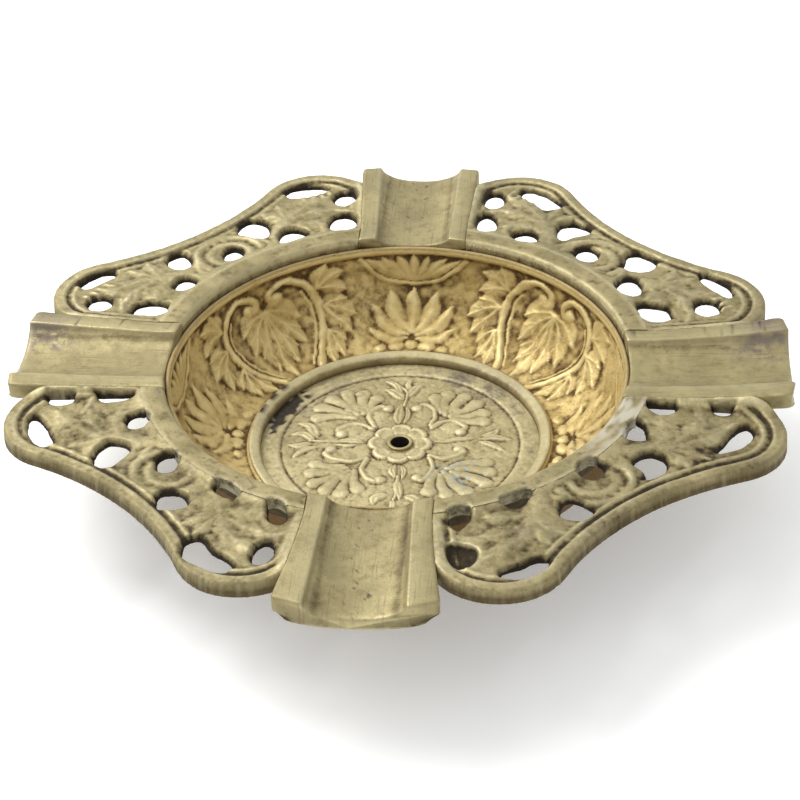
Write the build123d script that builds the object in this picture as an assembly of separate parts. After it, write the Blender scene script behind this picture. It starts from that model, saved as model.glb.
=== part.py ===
from build123d import *
import os
from math import atan2, cos, degrees, radians, sin, sqrt

# Pierced brass incense burner: a cast bowl held in an openwork frame with four trough rests.
# Frame: +Z up, origin on the table under the middle of the foot, one rest along each of +X, +Y, -X and -Y.
# All sizes are in millimetres.

# ---- foot and floor, from the table up ----
FOOT_HEIGHT = 3.0           # table to the bowl's underside
FOOT_RADIUS = 29.0
FOOT_WIDTH = 3.4
FOOT_LET_IN = 0.5           # how far the foot ring is let into the bowl
FOOT_ROUNDING = 0.8
BOWL_FLOOR = 2.0
MEDALLION_THICKNESS = 1.2
BOWL_DEPTH = 21.5           # medallion's face to the collar's top

# ---- bowl wall, rim and collar ----
MOUTH_RADIUS = 45.9         # bore of the collar
COLLAR_WIDTH = 4.6
COLLAR_HEIGHT = 5.9
RIM_CLEARANCE = 0.1         # between the bowl's rim and the collar's bore
RIM_THICKNESS = 0.9
RIM_DROP = 2.3              # collar's top to the rim
BOWL_WALL = 2.2
WALL_FOOT_HEIGHT = 1.8      # medallion's face to the foot of the curved wall
PAD_MARGIN = 1.8            # thick floor of the bowl, outside the floor ring
SHOULDER_THICKNESS = 1.6    # bowl's shoulder, which carries the collar

# ---- rests ----
REST_REACH = 24.5           # collar's outside to the tip
REST_ROOT_WIDTH = 23.2
REST_TIP_WIDTH = 26.4
REST_SIDE_HEIGHT = 2.4      # at the collar
REST_THICKNESS = 2.0        # metal under the groove
REST_RISE = 1.0             # how much higher the ridges are at the tip
REST_CORNER = 1.2
GROOVE_HALF_WIDTH = 7.9     # at the collar
GROOVE_DEPTH = 2.3

# ---- openwork panels ----
PANEL_DROP = 0.7            # collar's top to the panel's face
PANEL_THICKNESS = 2.6
TONGUE_LAP = 2.3            # how far the panel's tongue goes into the collar
TONGUE_THICKNESS = 1.3
LOBE_RADIUS = 12.6
LOBE_OFFSET = 10.9          # rest's side at the collar to the lobe's centre
LOBE_SETBACK = 1.6          # rest's tip to the lobe's top
WAIST_WIDTH = 15.8          # collar's outside to the outline, on the diagonal
BORDER = 3.7                # metal between a lobe's outline and its slot
COLLAR_MARGIN = 0.6         # metal between the collar and the holes
SIDE_MARGIN = 1.3           # metal between a rest and the holes beside it
SIDE_HOLE_WIDTH = 5.6
INNER_HOLE_LENGTH = 8.2     # the hole beside a rest, next to the collar
OUTER_HOLE_LENGTH = 6.8     # the hole beside a rest, next to the lobe's top
INNER_HOLE_OFFSET = 1.6     # collar's outside to the inner hole's centre
HOLE_BAR = 2.6              # metal between those two holes
SLOT_WIDTH = 4.4
SLOT_ARC = (-14, 60)        # degrees about the lobe's centre
SCROLL_HOLE_RADIUS = 2.9
SCROLL_HOLE_OFFSET = 4.1    # collar's outside to the hole's centre, on the diagonal
BUD_HOLE_RADIUS = 3.0       # hole against the collar, between the scroll and the inner hole
BUD_HOLE_OFFSET = 2.0
BUD_HOLE_ANGLE = 18.0       # degrees from the diagonal
WAIST_HOLE_RADIUS = 4.8     # three-cornered hole beside the scroll
WAIST_HOLE_CORNER = 1.5
WAIST_HOLE_OFFSET = 9.1
WAIST_HOLE_ANGLE = 10.6
WAIST_HOLE_TURN = 6.0       # direction of its outer corner

# ---- floor ring, medallion and stick socket ----
FLOOR_RING_RADIUS = 30.6
FLOOR_RING_WIDTH = 2.3
FLOOR_RING_OUTER_HEIGHT = 2.5   # medallion's face to the ring's outer edge
FLOOR_RING_INNER_HEIGHT = 2.0
MEDALLION_LAP = 0.8         # edge of the medallion under the floor ring
SOCKET_BORE = 3.7
SOCKET_WALL = 0.35
SOCKET_LIP = (0.35, 0.5)    # width and height of the upper lip
SOCKET_ROLL = (0.9, 0.6)    # width and height of the edge rolled over the washer
SOCKET_ROUNDING = 0.2
WASHER_RADIUS = 6.0
WASHER_THICKNESS = 1.0

# ---- places worked out from the sizes ----
FLOOR_Z = FOOT_HEIGHT + BOWL_FLOOR
MEDALLION_Z = FLOOR_Z + MEDALLION_THICKNESS
TOP_Z = MEDALLION_Z + BOWL_DEPTH
RIM_Z = TOP_Z - RIM_DROP
WALL_FOOT_Z = MEDALLION_Z + WALL_FOOT_HEIGHT
COLLAR_UNDER_Z = TOP_Z - COLLAR_HEIGHT
SHOULDER_UNDER_Z = COLLAR_UNDER_Z - SHOULDER_THICKNESS
PANEL_Z = TOP_Z - PANEL_DROP
PANEL_UNDER_Z = PANEL_Z - PANEL_THICKNESS
TONGUE_Z = PANEL_UNDER_Z + TONGUE_THICKNESS
REST_SIDE_Z = TOP_Z - REST_SIDE_HEIGHT
RIM_RADIUS = MOUTH_RADIUS - RIM_CLEARANCE
COLLAR_OUTSIDE = MOUTH_RADIUS + COLLAR_WIDTH
TONGUE_RADIUS = COLLAR_OUTSIDE - TONGUE_LAP
REST_TIP = COLLAR_OUTSIDE + REST_REACH
FLOOR_RING_BORE = FLOOR_RING_RADIUS - FLOOR_RING_WIDTH
MEDALLION_RADIUS = FLOOR_RING_BORE + MEDALLION_LAP
SOCKET_RADIUS = SOCKET_BORE / 2 + SOCKET_WALL
WASHER_Z = FOOT_HEIGHT - WASHER_THICKNESS
LOBE = (REST_ROOT_WIDTH / 2 + LOBE_OFFSET, REST_TIP - LOBE_SETBACK - LOBE_RADIUS)
DIAGONAL = Plane(origin=(0, 0, 0), x_dir=(1, 1, 0), z_dir=(1, -1, 0))


def disc(radius, low_z, high_z):
    """An upright cylinder on the Z axis."""
    return Pos(0, 0, low_z) * Cylinder(radius, high_z - low_z, align=(Align.CENTER, Align.CENTER, Align.MIN))


def turned(*points):
    """A ring turned about Z, from the (radius, height) corners of its section."""
    return revolve(Plane.XZ * make_face(Polyline(*points, close=True)), Axis.Z)


def cup(foot_radius, foot_z, mouth_radius, mouth_z):
    """Solid cup shape: flat below, with a quarter-ellipse side that ends upright at the mouth."""
    side = EllipticalCenterArc((foot_radius, mouth_z), mouth_radius - foot_radius, mouth_z - foot_z, -90, arc_size=90)
    middle = Polyline(side @ 1, (0, mouth_z), (0, foot_z), side @ 0)
    return revolve(Plane.XZ * make_face([side, *middle.edges()]), Axis.Z)


def on_ray(radius, angle):
    """The point at a radius and an angle in degrees from +X."""
    return radius * cos(radians(angle)), radius * sin(radians(angle))


def make_bowl():
    """Cast cup: curved wall, thick floor, a shoulder under the collar and a thin rim inside it."""
    body = cup(FLOOR_RING_RADIUS, WALL_FOOT_Z - BOWL_WALL, RIM_RADIUS + BOWL_WALL, SHOULDER_UNDER_Z)
    body += disc(FLOOR_RING_RADIUS + PAD_MARGIN, FOOT_HEIGHT, WALL_FOOT_Z)
    body += disc(COLLAR_OUTSIDE, SHOULDER_UNDER_Z, COLLAR_UNDER_Z)
    body += disc(RIM_RADIUS, COLLAR_UNDER_Z, RIM_Z)
    body -= cup(FLOOR_RING_RADIUS, WALL_FOOT_Z, RIM_RADIUS - RIM_THICKNESS, RIM_Z)
    body -= disc(FLOOR_RING_RADIUS, FLOOR_Z, WALL_FOOT_Z)
    body -= disc(SOCKET_RADIUS, 0, FLOOR_Z)
    body -= disc(FOOT_RADIUS, 0, FOOT_HEIGHT + FOOT_LET_IN) - disc(FOOT_RADIUS - FOOT_WIDTH, 0, TOP_Z)
    return body


def make_foot_ring():
    """Plain turned ring, let into the bowl's underside, with rounded edges on the table."""
    ring = disc(FOOT_RADIUS, 0, FOOT_HEIGHT + FOOT_LET_IN)
    ring -= disc(FOOT_RADIUS - FOOT_WIDTH, 0, TOP_Z)
    return fillet(ring.edges().group_by(Axis.Z)[0], FOOT_ROUNDING)


def rest_plan():
    """A rest seen from above, along +X: straight through the collar, then widening to rounded corners."""
    root, tip = REST_ROOT_WIDTH / 2, REST_TIP_WIDTH / 2
    inner = MOUTH_RADIUS / 2
    outline = Polyline(
        (inner, -root), (COLLAR_OUTSIDE, -root), (REST_TIP, -tip),
        (REST_TIP, tip), (COLLAR_OUTSIDE, root), (inner, root), close=True,
    )
    plan = make_face(outline)
    return fillet(plan.vertices().group_by(Axis.X)[-1], REST_CORNER)


def rest_blank():
    """A rest with no groove and no top, as tall as the collar needs for its housing."""
    half = REST_TIP_WIDTH / 2
    high = TOP_Z + COLLAR_HEIGHT
    belly_z = TOP_Z - GROOVE_DEPTH - REST_THICKNESS
    belly = ThreePointArc((-half, REST_SIDE_Z), (0, belly_z), (half, REST_SIDE_Z))
    sides = Polyline(belly @ 1, (half, high), (-half, high), belly @ 0)
    section = Plane.YZ * make_face([belly, *sides.edges()])
    blank = extrude(rest_plan(), high) & extrude(section, REST_TIP)
    return blank - disc(MOUTH_RADIUS, 0, high)


def make_rest():
    """Trough along +X: round groove, side ridges that climb to the tip, inner end flush with the mouth."""
    groove_radius = (GROOVE_HALF_WIDTH**2 + GROOVE_DEPTH**2) / (2 * GROOVE_DEPTH)
    over = TOP_Z + COLLAR_HEIGHT
    above = make_face(Polyline(
        (0, TOP_Z), (COLLAR_OUTSIDE, TOP_Z), (REST_TIP, TOP_Z + REST_RISE), (REST_TIP, over), (0, over), close=True,
    ))
    rest = rest_blank() - extrude(Plane.XZ * above, REST_TIP_WIDTH, both=True)
    groove = Plane.YZ * Pos(0, TOP_Z - GROOVE_DEPTH + groove_radius) * Circle(groove_radius)
    return rest - extrude(groove, REST_TIP)


def make_collar():
    """Flat ring with a U-shaped housing for each rest and a groove outside for the panels' tongues."""
    ring = turned(
        (MOUTH_RADIUS, COLLAR_UNDER_Z), (COLLAR_OUTSIDE, COLLAR_UNDER_Z), (COLLAR_OUTSIDE, PANEL_UNDER_Z),
        (TONGUE_RADIUS, PANEL_UNDER_Z), (TONGUE_RADIUS, TONGUE_Z), (COLLAR_OUTSIDE, TONGUE_Z),
        (COLLAR_OUTSIDE, TOP_Z), (MOUTH_RADIUS, TOP_Z),
    )
    blank = rest_blank()
    for turn in range(4):
        ring -= blank.rotate(Axis.Z, 90 * turn)
    return ring


def panel_outline():
    """Panel between two rests, from inside the collar out to two lobes joined by a hollow waist."""
    root, tip = REST_ROOT_WIDTH / 2, REST_TIP_WIDTH / 2
    taper = (tip - root) / REST_REACH
    along, across = (LOBE[0] + LOBE[1]) / sqrt(2), (LOBE[1] - LOBE[0]) / sqrt(2)
    waist = COLLAR_OUTSIDE + WAIST_WIDTH
    gap = waist - along
    waist_radius = (gap**2 + across**2 - LOBE_RADIUS**2) / (2 * (LOBE_RADIUS - gap))
    joint_angle = 45 - degrees(atan2(across, waist + waist_radius - along))
    joint = Vector(*LOBE) + Vector(*on_ray(LOBE_RADIUS, joint_angle))
    # where the lobe's circle meets the side of the rest
    side_x = LOBE[0] - root
    for _ in range(6):
        end_y = LOBE[1] + sqrt(LOBE_RADIUS**2 - side_x**2)
        side_x = LOBE[0] - root - taper * (end_y - COLLAR_OUTSIDE)
    start = Vector(LOBE[0] - side_x, end_y)
    top = Vector(LOBE[0], LOBE[1] + LOBE_RADIUS)
    inner = Vector(root, MOUTH_RADIUS / 2)
    corner = Vector(root, COLLAR_OUTSIDE)
    edges = [
        Line(inner, corner), Line(corner, start), ThreePointArc(start, top, joint),
        ThreePointArc(joint, on_ray(waist, 45), (joint.Y, joint.X)),
        ThreePointArc((joint.Y, joint.X), (top.Y, top.X), (start.Y, start.X)),
        Line((start.Y, start.X), (corner.Y, corner.X)), Line((corner.Y, corner.X), (inner.Y, inner.X)),
        Line((inner.Y, inner.X), inner),
    ]
    return make_face(edges)


def panel_holes():
    """Openings of one panel: five on each side of the diagonal and one on it, in the scroll."""
    taper = (REST_TIP_WIDTH - REST_ROOT_WIDTH) / 2 / REST_REACH
    side_x = REST_ROOT_WIDTH / 2 + SIDE_MARGIN + SIDE_HOLE_WIDTH / 2
    inner_y = COLLAR_OUTSIDE + INNER_HOLE_OFFSET
    outer_y = inner_y + (INNER_HOLE_LENGTH + OUTER_HOLE_LENGTH) / 2 + HOLE_BAR
    outer_x = side_x + taper * (outer_y - COLLAR_OUTSIDE)
    slot_radius = LOBE_RADIUS - BORDER - SLOT_WIDTH / 2
    slot_path = CenterArc(LOBE, slot_radius, SLOT_ARC[0], SLOT_ARC[1] - SLOT_ARC[0])
    waist_hole = RegularPolygon(WAIST_HOLE_RADIUS, 3, rotation=WAIST_HOLE_TURN)
    waist_hole = fillet(waist_hole.vertices(), WAIST_HOLE_CORNER)
    half = Sketch() + [
        Pos(side_x, inner_y) * Ellipse(SIDE_HOLE_WIDTH / 2, INNER_HOLE_LENGTH / 2),
        Pos(outer_x, outer_y) * Ellipse(SIDE_HOLE_WIDTH / 2, OUTER_HOLE_LENGTH / 2),
        SlotArc(slot_path, SLOT_WIDTH),
        Pos(*on_ray(COLLAR_OUTSIDE + BUD_HOLE_OFFSET, 45 + BUD_HOLE_ANGLE)) * Circle(BUD_HOLE_RADIUS),
        Pos(*on_ray(COLLAR_OUTSIDE + WAIST_HOLE_OFFSET, 45 + WAIST_HOLE_ANGLE)) * waist_hole,
    ]
    scroll = Pos(*on_ray(COLLAR_OUTSIDE + SCROLL_HOLE_OFFSET, 45)) * Circle(SCROLL_HOLE_RADIUS)
    return half + mirror(half, about=DIAGONAL) + scroll - Circle(COLLAR_OUTSIDE + COLLAR_MARGIN)


def make_panel():
    """Pierced panel between +X and +Y, with a tongue that fits the collar's groove."""
    outline = panel_outline()
    plate = outline - Circle(COLLAR_OUTSIDE) - panel_holes()
    tongue = outline & (Circle(COLLAR_OUTSIDE) - Circle(TONGUE_RADIUS))
    return extrude(Pos(0, 0, PANEL_UNDER_Z) * plate, PANEL_THICKNESS) + extrude(
        Pos(0, 0, PANEL_UNDER_Z) * tongue, TONGUE_THICKNESS
    )


def make_floor_ring():
    """Raised ring that covers the medallion's edge and stands just proud of the wall's foot."""
    return turned(
        (MEDALLION_RADIUS, FLOOR_Z), (FLOOR_RING_RADIUS, FLOOR_Z),
        (FLOOR_RING_RADIUS, MEDALLION_Z + FLOOR_RING_OUTER_HEIGHT),
        (FLOOR_RING_BORE, MEDALLION_Z + FLOOR_RING_INNER_HEIGHT),
        (FLOOR_RING_BORE, MEDALLION_Z), (MEDALLION_RADIUS, MEDALLION_Z),
    )


def make_floor_medallion():
    """Thin disc on the bowl's floor with a hole for the stick socket."""
    return disc(MEDALLION_RADIUS, FLOOR_Z, MEDALLION_Z) - disc(SOCKET_RADIUS, 0, TOP_Z)


def make_stick_socket():
    """Tubular rivet: a lip on the medallion and an edge rolled over the washer."""
    low_z = WASHER_Z - SOCKET_ROLL[1]
    rivet = disc(SOCKET_RADIUS, low_z, MEDALLION_Z + SOCKET_LIP[1])
    rivet += disc(SOCKET_RADIUS + SOCKET_LIP[0], MEDALLION_Z, MEDALLION_Z + SOCKET_LIP[1])
    rivet += disc(SOCKET_RADIUS + SOCKET_ROLL[0], low_z, WASHER_Z)
    rivet -= disc(SOCKET_BORE / 2, 0, TOP_Z)
    ends = rivet.edges().group_by(Axis.Z)
    outer = [end.sort_by(SortBy.RADIUS)[-1] for end in (ends[0], ends[-1])]
    return fillet(outer, SOCKET_ROUNDING)


def make_socket_washer():
    """Plain washer under the bowl's floor."""
    return disc(WASHER_RADIUS, WASHER_Z, FOOT_HEIGHT) - disc(SOCKET_RADIUS, 0, TOP_Z)


def main():
    os.makedirs("parts", exist_ok=True)
    rest, panel = make_rest(), make_panel()
    nodes = {
        "bowl": make_bowl(),
        "foot_ring": make_foot_ring(),
        "collar_ring": make_collar(),
        "floor_ring": make_floor_ring(),
        "floor_medallion": make_floor_medallion(),
        "stick_socket": make_stick_socket(),
        "socket_washer": make_socket_washer(),
    }
    for turn, side in enumerate(("right", "back", "left", "front")):
        nodes[f"rest_{side}"] = rest.rotate(Axis.Z, 90 * turn)
    for turn, corner in enumerate(("back_right", "back_left", "front_left", "front_right")):
        nodes[f"openwork_panel_{corner}"] = panel.rotate(Axis.Z, 90 * turn)
    for node, shape in nodes.items():
        export_step(shape, f"parts/{node}.step")


main()
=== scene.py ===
# %% [markdown]
# # A pierced brass incense burner
# The dish is a round cast bowl in an openwork frame: a flat collar, four trough rests and four pierced
# leafwork panels between them. A raised ring and a flower medallion close the floor, and a tubular rivet
# in the middle holds the stick. This file dresses the fixed CAD frame: each CAD piece is replaced by a
# finer mesh of the same piece, in the same place, with cast relief, rounded edges and aged-brass finishes.

# %% Load the frame and keep its size
import math

import bmesh
import bpy
import numpy as np
from mathutils import Matrix, Vector


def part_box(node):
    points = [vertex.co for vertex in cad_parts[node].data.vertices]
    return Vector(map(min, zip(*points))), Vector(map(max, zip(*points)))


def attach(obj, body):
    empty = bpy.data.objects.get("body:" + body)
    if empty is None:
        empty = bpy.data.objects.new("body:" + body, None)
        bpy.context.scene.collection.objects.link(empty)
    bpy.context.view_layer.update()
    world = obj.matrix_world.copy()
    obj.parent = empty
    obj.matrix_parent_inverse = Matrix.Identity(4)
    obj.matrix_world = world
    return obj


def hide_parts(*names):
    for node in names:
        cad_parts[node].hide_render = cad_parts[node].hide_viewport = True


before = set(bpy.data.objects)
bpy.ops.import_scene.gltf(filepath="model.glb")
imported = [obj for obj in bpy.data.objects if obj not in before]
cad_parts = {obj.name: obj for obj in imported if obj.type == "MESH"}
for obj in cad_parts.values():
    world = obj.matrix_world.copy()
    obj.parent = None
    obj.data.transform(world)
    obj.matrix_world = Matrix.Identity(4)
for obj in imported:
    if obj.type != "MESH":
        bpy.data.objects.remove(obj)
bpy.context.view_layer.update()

MM = 0.001


def cad_mm(node):
    """Lowest and highest corner of a CAD node, in millimetres."""
    low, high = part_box(node)
    return np.array(low) / MM, np.array(high) / MM


TOP = cad_mm("collar_ring")[1][2]
COLLAR_UNDER = cad_mm("collar_ring")[0][2]
COLLAR_OUT = cad_mm("collar_ring")[1][0]
REST_TIP = cad_mm("rest_right")[1][0]
REST_TOP = cad_mm("rest_right")[1][2]
REST_UNDER = cad_mm("rest_right")[0][2]
PANEL_TOP = cad_mm("openwork_panel_back_right")[1][2]
PANEL_UNDER = cad_mm("openwork_panel_back_right")[0][2]
BOWL_RIM = cad_mm("bowl")[1][2]
BOWL_UNDER = cad_mm("bowl")[0][2]
MEDALLION_TOP = cad_mm("floor_medallion")[1][2]
FLOOR = cad_mm("floor_medallion")[0][2]
MEDALLION_OUT = cad_mm("floor_medallion")[1][0]
RING_OUT = cad_mm("floor_ring")[1][0]
RING_TOP = cad_mm("floor_ring")[1][2]
FOOT_OUT = cad_mm("foot_ring")[1][0]
FOOT_TOP = cad_mm("foot_ring")[1][2]
SOCKET_LOW, SOCKET_HIGH = cad_mm("stick_socket")
WASHER_LOW, WASHER_HIGH = cad_mm("socket_washer")
MOUTH = 45.9            # bore of the collar
RING_BORE = 28.3
SOCKET_BORE = 1.85
print("collar top", round(TOP, 2), "mm, rest tip", round(REST_TIP, 2), "mm")

# %% [markdown]
# ## Paths, outlines and noise
# All of the cast ornament is drawn as a sculptor would press it into wax: with strokes that follow a few
# chosen points. A Catmull-Rom curve runs smoothly through such points. Distances to these paths give
# both the pierced outline and the relief. A small lattice noise gives the unevenness of hand-finished wax.
# The same noise with the same seed always comes out the same.


# %% Paths and distances
def smooth(points, steps=8, closed=False):
    """Points along a Catmull-Rom curve through the given points."""
    p = np.asarray(points, float)
    if len(p) < 3:
        return p
    ends = (p[-1:], p[:2]) if closed else (2 * p[:1] - p[1:2], 2 * p[-1:] - p[-2:-1])
    q = np.vstack([ends[0], p, ends[1]])
    t = np.linspace(0, 1, steps, endpoint=False)[:, None]
    out = []
    for a, b, c, d in zip(q[:-3], q[1:-2], q[2:-1], q[3:]):
        out.append(0.5 * (2 * b + (c - a) * t + (2 * a - 5 * b + 4 * c - d) * t**2 + (3 * b - a - 3 * c + d)
                          * t**3))
    path = np.vstack(out)
    return path if closed else np.vstack([path, p[-1:]])


def arc(center, radius, start, end, steps=24):
    """Points along a circle's arc, angles in degrees."""
    a = np.radians(np.linspace(start, end, steps))
    return np.stack([center[0] + radius * np.cos(a), center[1] + radius * np.sin(a)], 1)


def ellipse(center, half_x, half_y, turn=0.0, steps=40):
    """Closed loop of an ellipse, turned by degrees."""
    a = np.linspace(0, 2 * np.pi, steps, endpoint=False)
    c, s = math.cos(math.radians(turn)), math.sin(math.radians(turn))
    x, y = half_x * np.cos(a), half_y * np.sin(a)
    return np.stack([center[0] + c * x - s * y, center[1] + s * x + c * y], 1)


def path_distance(u, v, path):
    """Distance from each point (u, v) to a path, and how far along it the nearest place is (0 to 1)."""
    seg = path[1:] - path[:-1]
    length = np.maximum(np.hypot(seg[:, 0], seg[:, 1]), 1e-9)
    start = np.concatenate([[0], np.cumsum(length)])
    best = np.full(u.shape, 1e9)
    along = np.zeros(u.shape)
    for i in range(len(seg)):
        pu, pv = u - path[i, 0], v - path[i, 1]
        t = np.clip((pu * seg[i, 0] + pv * seg[i, 1]) / length[i] ** 2, 0, 1)
        d = np.hypot(pu - t * seg[i, 0], pv - t * seg[i, 1])
        near = d < best
        best = np.where(near, d, best)
        along = np.where(near, start[i] + t * length[i], along)
    return best, along / start[-1]


def loop_distance(u, v, loop):
    """Signed distance to a closed loop: positive inside."""
    ring = np.vstack([loop, loop[:1]])
    d, _ = path_distance(u, v, ring)
    inside = np.zeros(u.shape, bool)
    for (x0, y0), (x1, y1) in zip(ring[:-1], ring[1:]):
        if y0 == y1:
            continue
        crosses = (y0 > v) != (y1 > v)
        inside ^= crosses & (u < x0 + (v - y0) * (x1 - x0) / (y1 - y0))
    return np.where(inside, d, -d)


# %% Noise and blur on grids
def grain(u, v, size, seed, wrap=0):
    """Smooth lattice noise from -1 to 1, with bumps of a given size. u repeats after wrap lumps."""
    lattice = np.random.default_rng(seed).uniform(-1, 1, (512, 512))
    a, b = (u / size, v / size) if wrap else ((0.8 * u + 0.6 * v) / size, (0.8 * v - 0.6 * u) / size)
    i, j = np.floor(a).astype(int), np.floor(b).astype(int)
    s, t = a - i, b - j
    s, t = s * s * (3 - 2 * s), t * t * (3 - 2 * t)
    i0, i1 = (i % wrap, (i + 1) % wrap) if wrap else (i % 512, (i + 1) % 512)
    j0, j1 = j % 512, (j + 1) % 512
    low = lattice[i0, j0] * (1 - s) + lattice[i1, j0] * s
    high = lattice[i0, j1] * (1 - s) + lattice[i1, j1] * s
    return low * (1 - t) + high * t


def blur(h, reach, around=False):
    """Box blur, run twice, over reach cells each way. around joins the two ends of the first axis."""
    for axis in (0, 1, 0, 1):
        mode = "wrap" if around and axis == 0 else "edge"
        pad = [(reach + 1, reach) if k == axis else (0, 0) for k in (0, 1)]
        total = np.cumsum(np.pad(h, pad, mode=mode), axis=axis)
        n = h.shape[axis]
        high = np.take(total, np.arange(2 * reach + 1, 2 * reach + 1 + n), axis=axis)
        low = np.take(total, np.arange(n), axis=axis)
        h = (high - low) / (2 * reach + 1)
    return h


def hollows_and_ridges(h, cell, around=False):
    """How far each place lies under and over its surroundings, 0 to 1: where grime stays and hands rub."""
    near = h - blur(h, max(1, round(0.5 / cell)), around)
    wide = h - blur(h, max(1, round(1.6 / cell)), around)
    mix = 2.2 * near + wide
    return np.clip(-mix / 0.55, 0, 1), np.clip(mix / 0.55, 0, 1)


# %% [markdown]
# ## Relief strokes
# Every leaf, scroll and bead is one stroke: a path with a width, a rounded cross-section and, on a leaf,
# a crease along the middle and slanted veins. Strokes are joined by taking the higher one, so neighbours
# meet in sharp valleys, as they do in a chased casting. A relief modelled this way is real geometry,
# which a bump map isn't: it catches light, casts shadow and stays in the mesh.


# %% The relief field
class Relief:
    """Heights in millimetres over a flat pattern with coordinates u and v."""

    def __init__(self, u, v):
        self.u, self.v = u, v
        self.h = np.zeros(u.shape)

    def near(self, path, reach):
        low, high = path.min(0) - reach, path.max(0) + reach
        return (self.u > low[0]) & (self.u < high[0]) & (self.v > low[1]) & (self.v < high[1])

    def raise_to(self, spot, height):
        self.h[spot] = np.maximum(self.h[spot], height)

    def cord(self, points, width, height, end_width=None):
        """A rounded rib that tapers from width to end_width."""
        path = smooth(points)
        end_width = width if end_width is None else end_width
        spot = self.near(path, max(width, end_width))
        if spot.any():
            d, s = path_distance(self.u[spot], self.v[spot], path)
            half = 0.5 * (width + (end_width - width) * s)
            self.raise_to(spot, height * np.sqrt(np.clip(1 - (d / half) ** 2, 0, 1)))

    def leaf(self, points, width, height, crease=0.25, veins=0, lift=0.0):
        """A pointed leaflet: widest before the middle, creased along it, with slanted veins."""
        path = smooth(points)
        spot = self.near(path, width)
        if spot.any():
            d, s = path_distance(self.u[spot], self.v[spot], path)
            half = 0.5 * width * np.sin(np.pi * np.clip(s, 0.02, 0.98) ** 0.8) ** 0.7
            t = d / np.maximum(half, 1e-6)
            body = height * np.clip(1 - t**2, 0, 1) ** 0.5 * (0.75 + 0.25 * np.sin(np.pi * s))
            if veins:
                body -= 0.13 * height * (1 + np.cos(2 * np.pi * (veins * s - 0.9 * t))) * (t < 1)
            body -= crease * height * np.exp(-((d / (0.12 * width)) ** 2)) * (t < 1)
            self.raise_to(spot, body + lift * (t < 1))

    def bead(self, center, radius, height, stretch=1.0, turn=0.0):
        """A rounded oval boss."""
        c, s = math.cos(math.radians(turn)), math.sin(math.radians(turn))
        du, dv = self.u - center[0], self.v - center[1]
        t = ((c * du + s * dv) / (radius * stretch)) ** 2 + ((c * dv - s * du) / radius) ** 2
        spot = t < 1
        self.raise_to(spot, height * np.sqrt(1 - t[spot]))


# %% [markdown]
# ## Making plain meshes
# A piece is handed over as one closed mesh that sits at the origin. Values that the finish needs at every
# point, such as how much grime a place holds, are stored on the mesh as named attributes, so that the
# material follows the surface wherever the piece goes.


# %% Mesh helpers
def make_piece(name, verts_mm, faces, values, smooth_angle=50):
    """A mesh object from points in millimetres, faces and named values for each point."""
    mesh = bpy.data.meshes.new(name)
    mesh.from_pydata((np.asarray(verts_mm) * MM).tolist(), [], [tuple(map(int, f)) for f in faces])
    shape = bmesh.new()
    shape.from_mesh(mesh)
    bmesh.ops.recalc_face_normals(shape, faces=shape.faces)
    shape.to_mesh(mesh)
    shape.free()
    for key, value in values.items():
        layer = mesh.attributes.new(key, "FLOAT", "POINT")
        layer.data.foreach_set("value", np.asarray(value, np.float32).ravel())
    obj = bpy.data.objects.new(name, mesh)
    bpy.context.scene.collection.objects.link(obj)
    mesh.shade_smooth()
    mesh.set_sharp_from_angle(angle=math.radians(smooth_angle))
    triangles = sum(len(p.vertices) - 2 for p in mesh.polygons)
    print(f"{name}: {triangles} triangles")
    return obj


def grid_faces(rows, cols, first=0, close_rows=False, close_cols=False):
    """Quads of a grid whose points are numbered row by row. A row or column can close on itself."""
    i = np.arange(rows if close_rows else rows - 1)
    j = np.arange(cols if close_cols else cols - 1)
    i, j = (a.ravel() for a in np.meshgrid(i, j, indexing="ij"))
    i2, j2 = (i + 1) % rows, (j + 1) % cols
    return np.stack([i * cols + j, i * cols + j2, i2 * cols + j2, i2 * cols + j], 1) + first


def turned_mesh(profile, columns, shift=None):
    """Points and faces of a closed (radius, height) profile turned about Z. shift(angle, k) moves points."""
    profile = np.asarray(profile, float)
    angle = np.linspace(0, 2 * np.pi, columns, endpoint=False)
    a, k = np.meshgrid(angle, np.arange(len(profile)), indexing="ij")
    r, z = profile[k, 0], profile[k, 1]
    if shift is not None:
        dr, dz = shift(a, k)
        r, z = r + dr, z + dz
    verts = np.stack([r * np.cos(a), r * np.sin(a), z], -1).reshape(-1, 3)
    faces = grid_faces(columns, len(profile), close_rows=True, close_cols=True)
    return verts, faces


def rounded(points, radii, steps=5):
    """A closed outline with each corner rounded to its own radius."""
    p = np.asarray(points, float)
    out = []
    for k, radius in enumerate(radii):
        if not radius:
            out.append(p[k : k + 1])
            continue
        before, here, after = p[k - 1], p[k], p[(k + 1) % len(p)]
        a, b = before - here, after - here
        la, lb = np.hypot(*a), np.hypot(*b)
        cut = min(radius, 0.45 * la, 0.45 * lb)
        start, end = here + a / la * cut, here + b / lb * cut
        t = np.linspace(0, 1, steps)[:, None]
        out.append((1 - t) ** 2 * start + 2 * t * (1 - t) * here + t**2 * end)
    return np.vstack(out)

# %% [markdown]
# ## Pierced plates
# The panels are castings with holes of many shapes. They could be cut with Booleans, but the cuts would
# leave hard edges and poor faces. Here the metal is a signed distance field on a fine grid: positive in
# metal, negative in a hole or outside. The edge is found between grid points (marching squares), the top is
# rounded down towards it, and the wall leans a little, as a pattern must to leave the sand.


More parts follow.
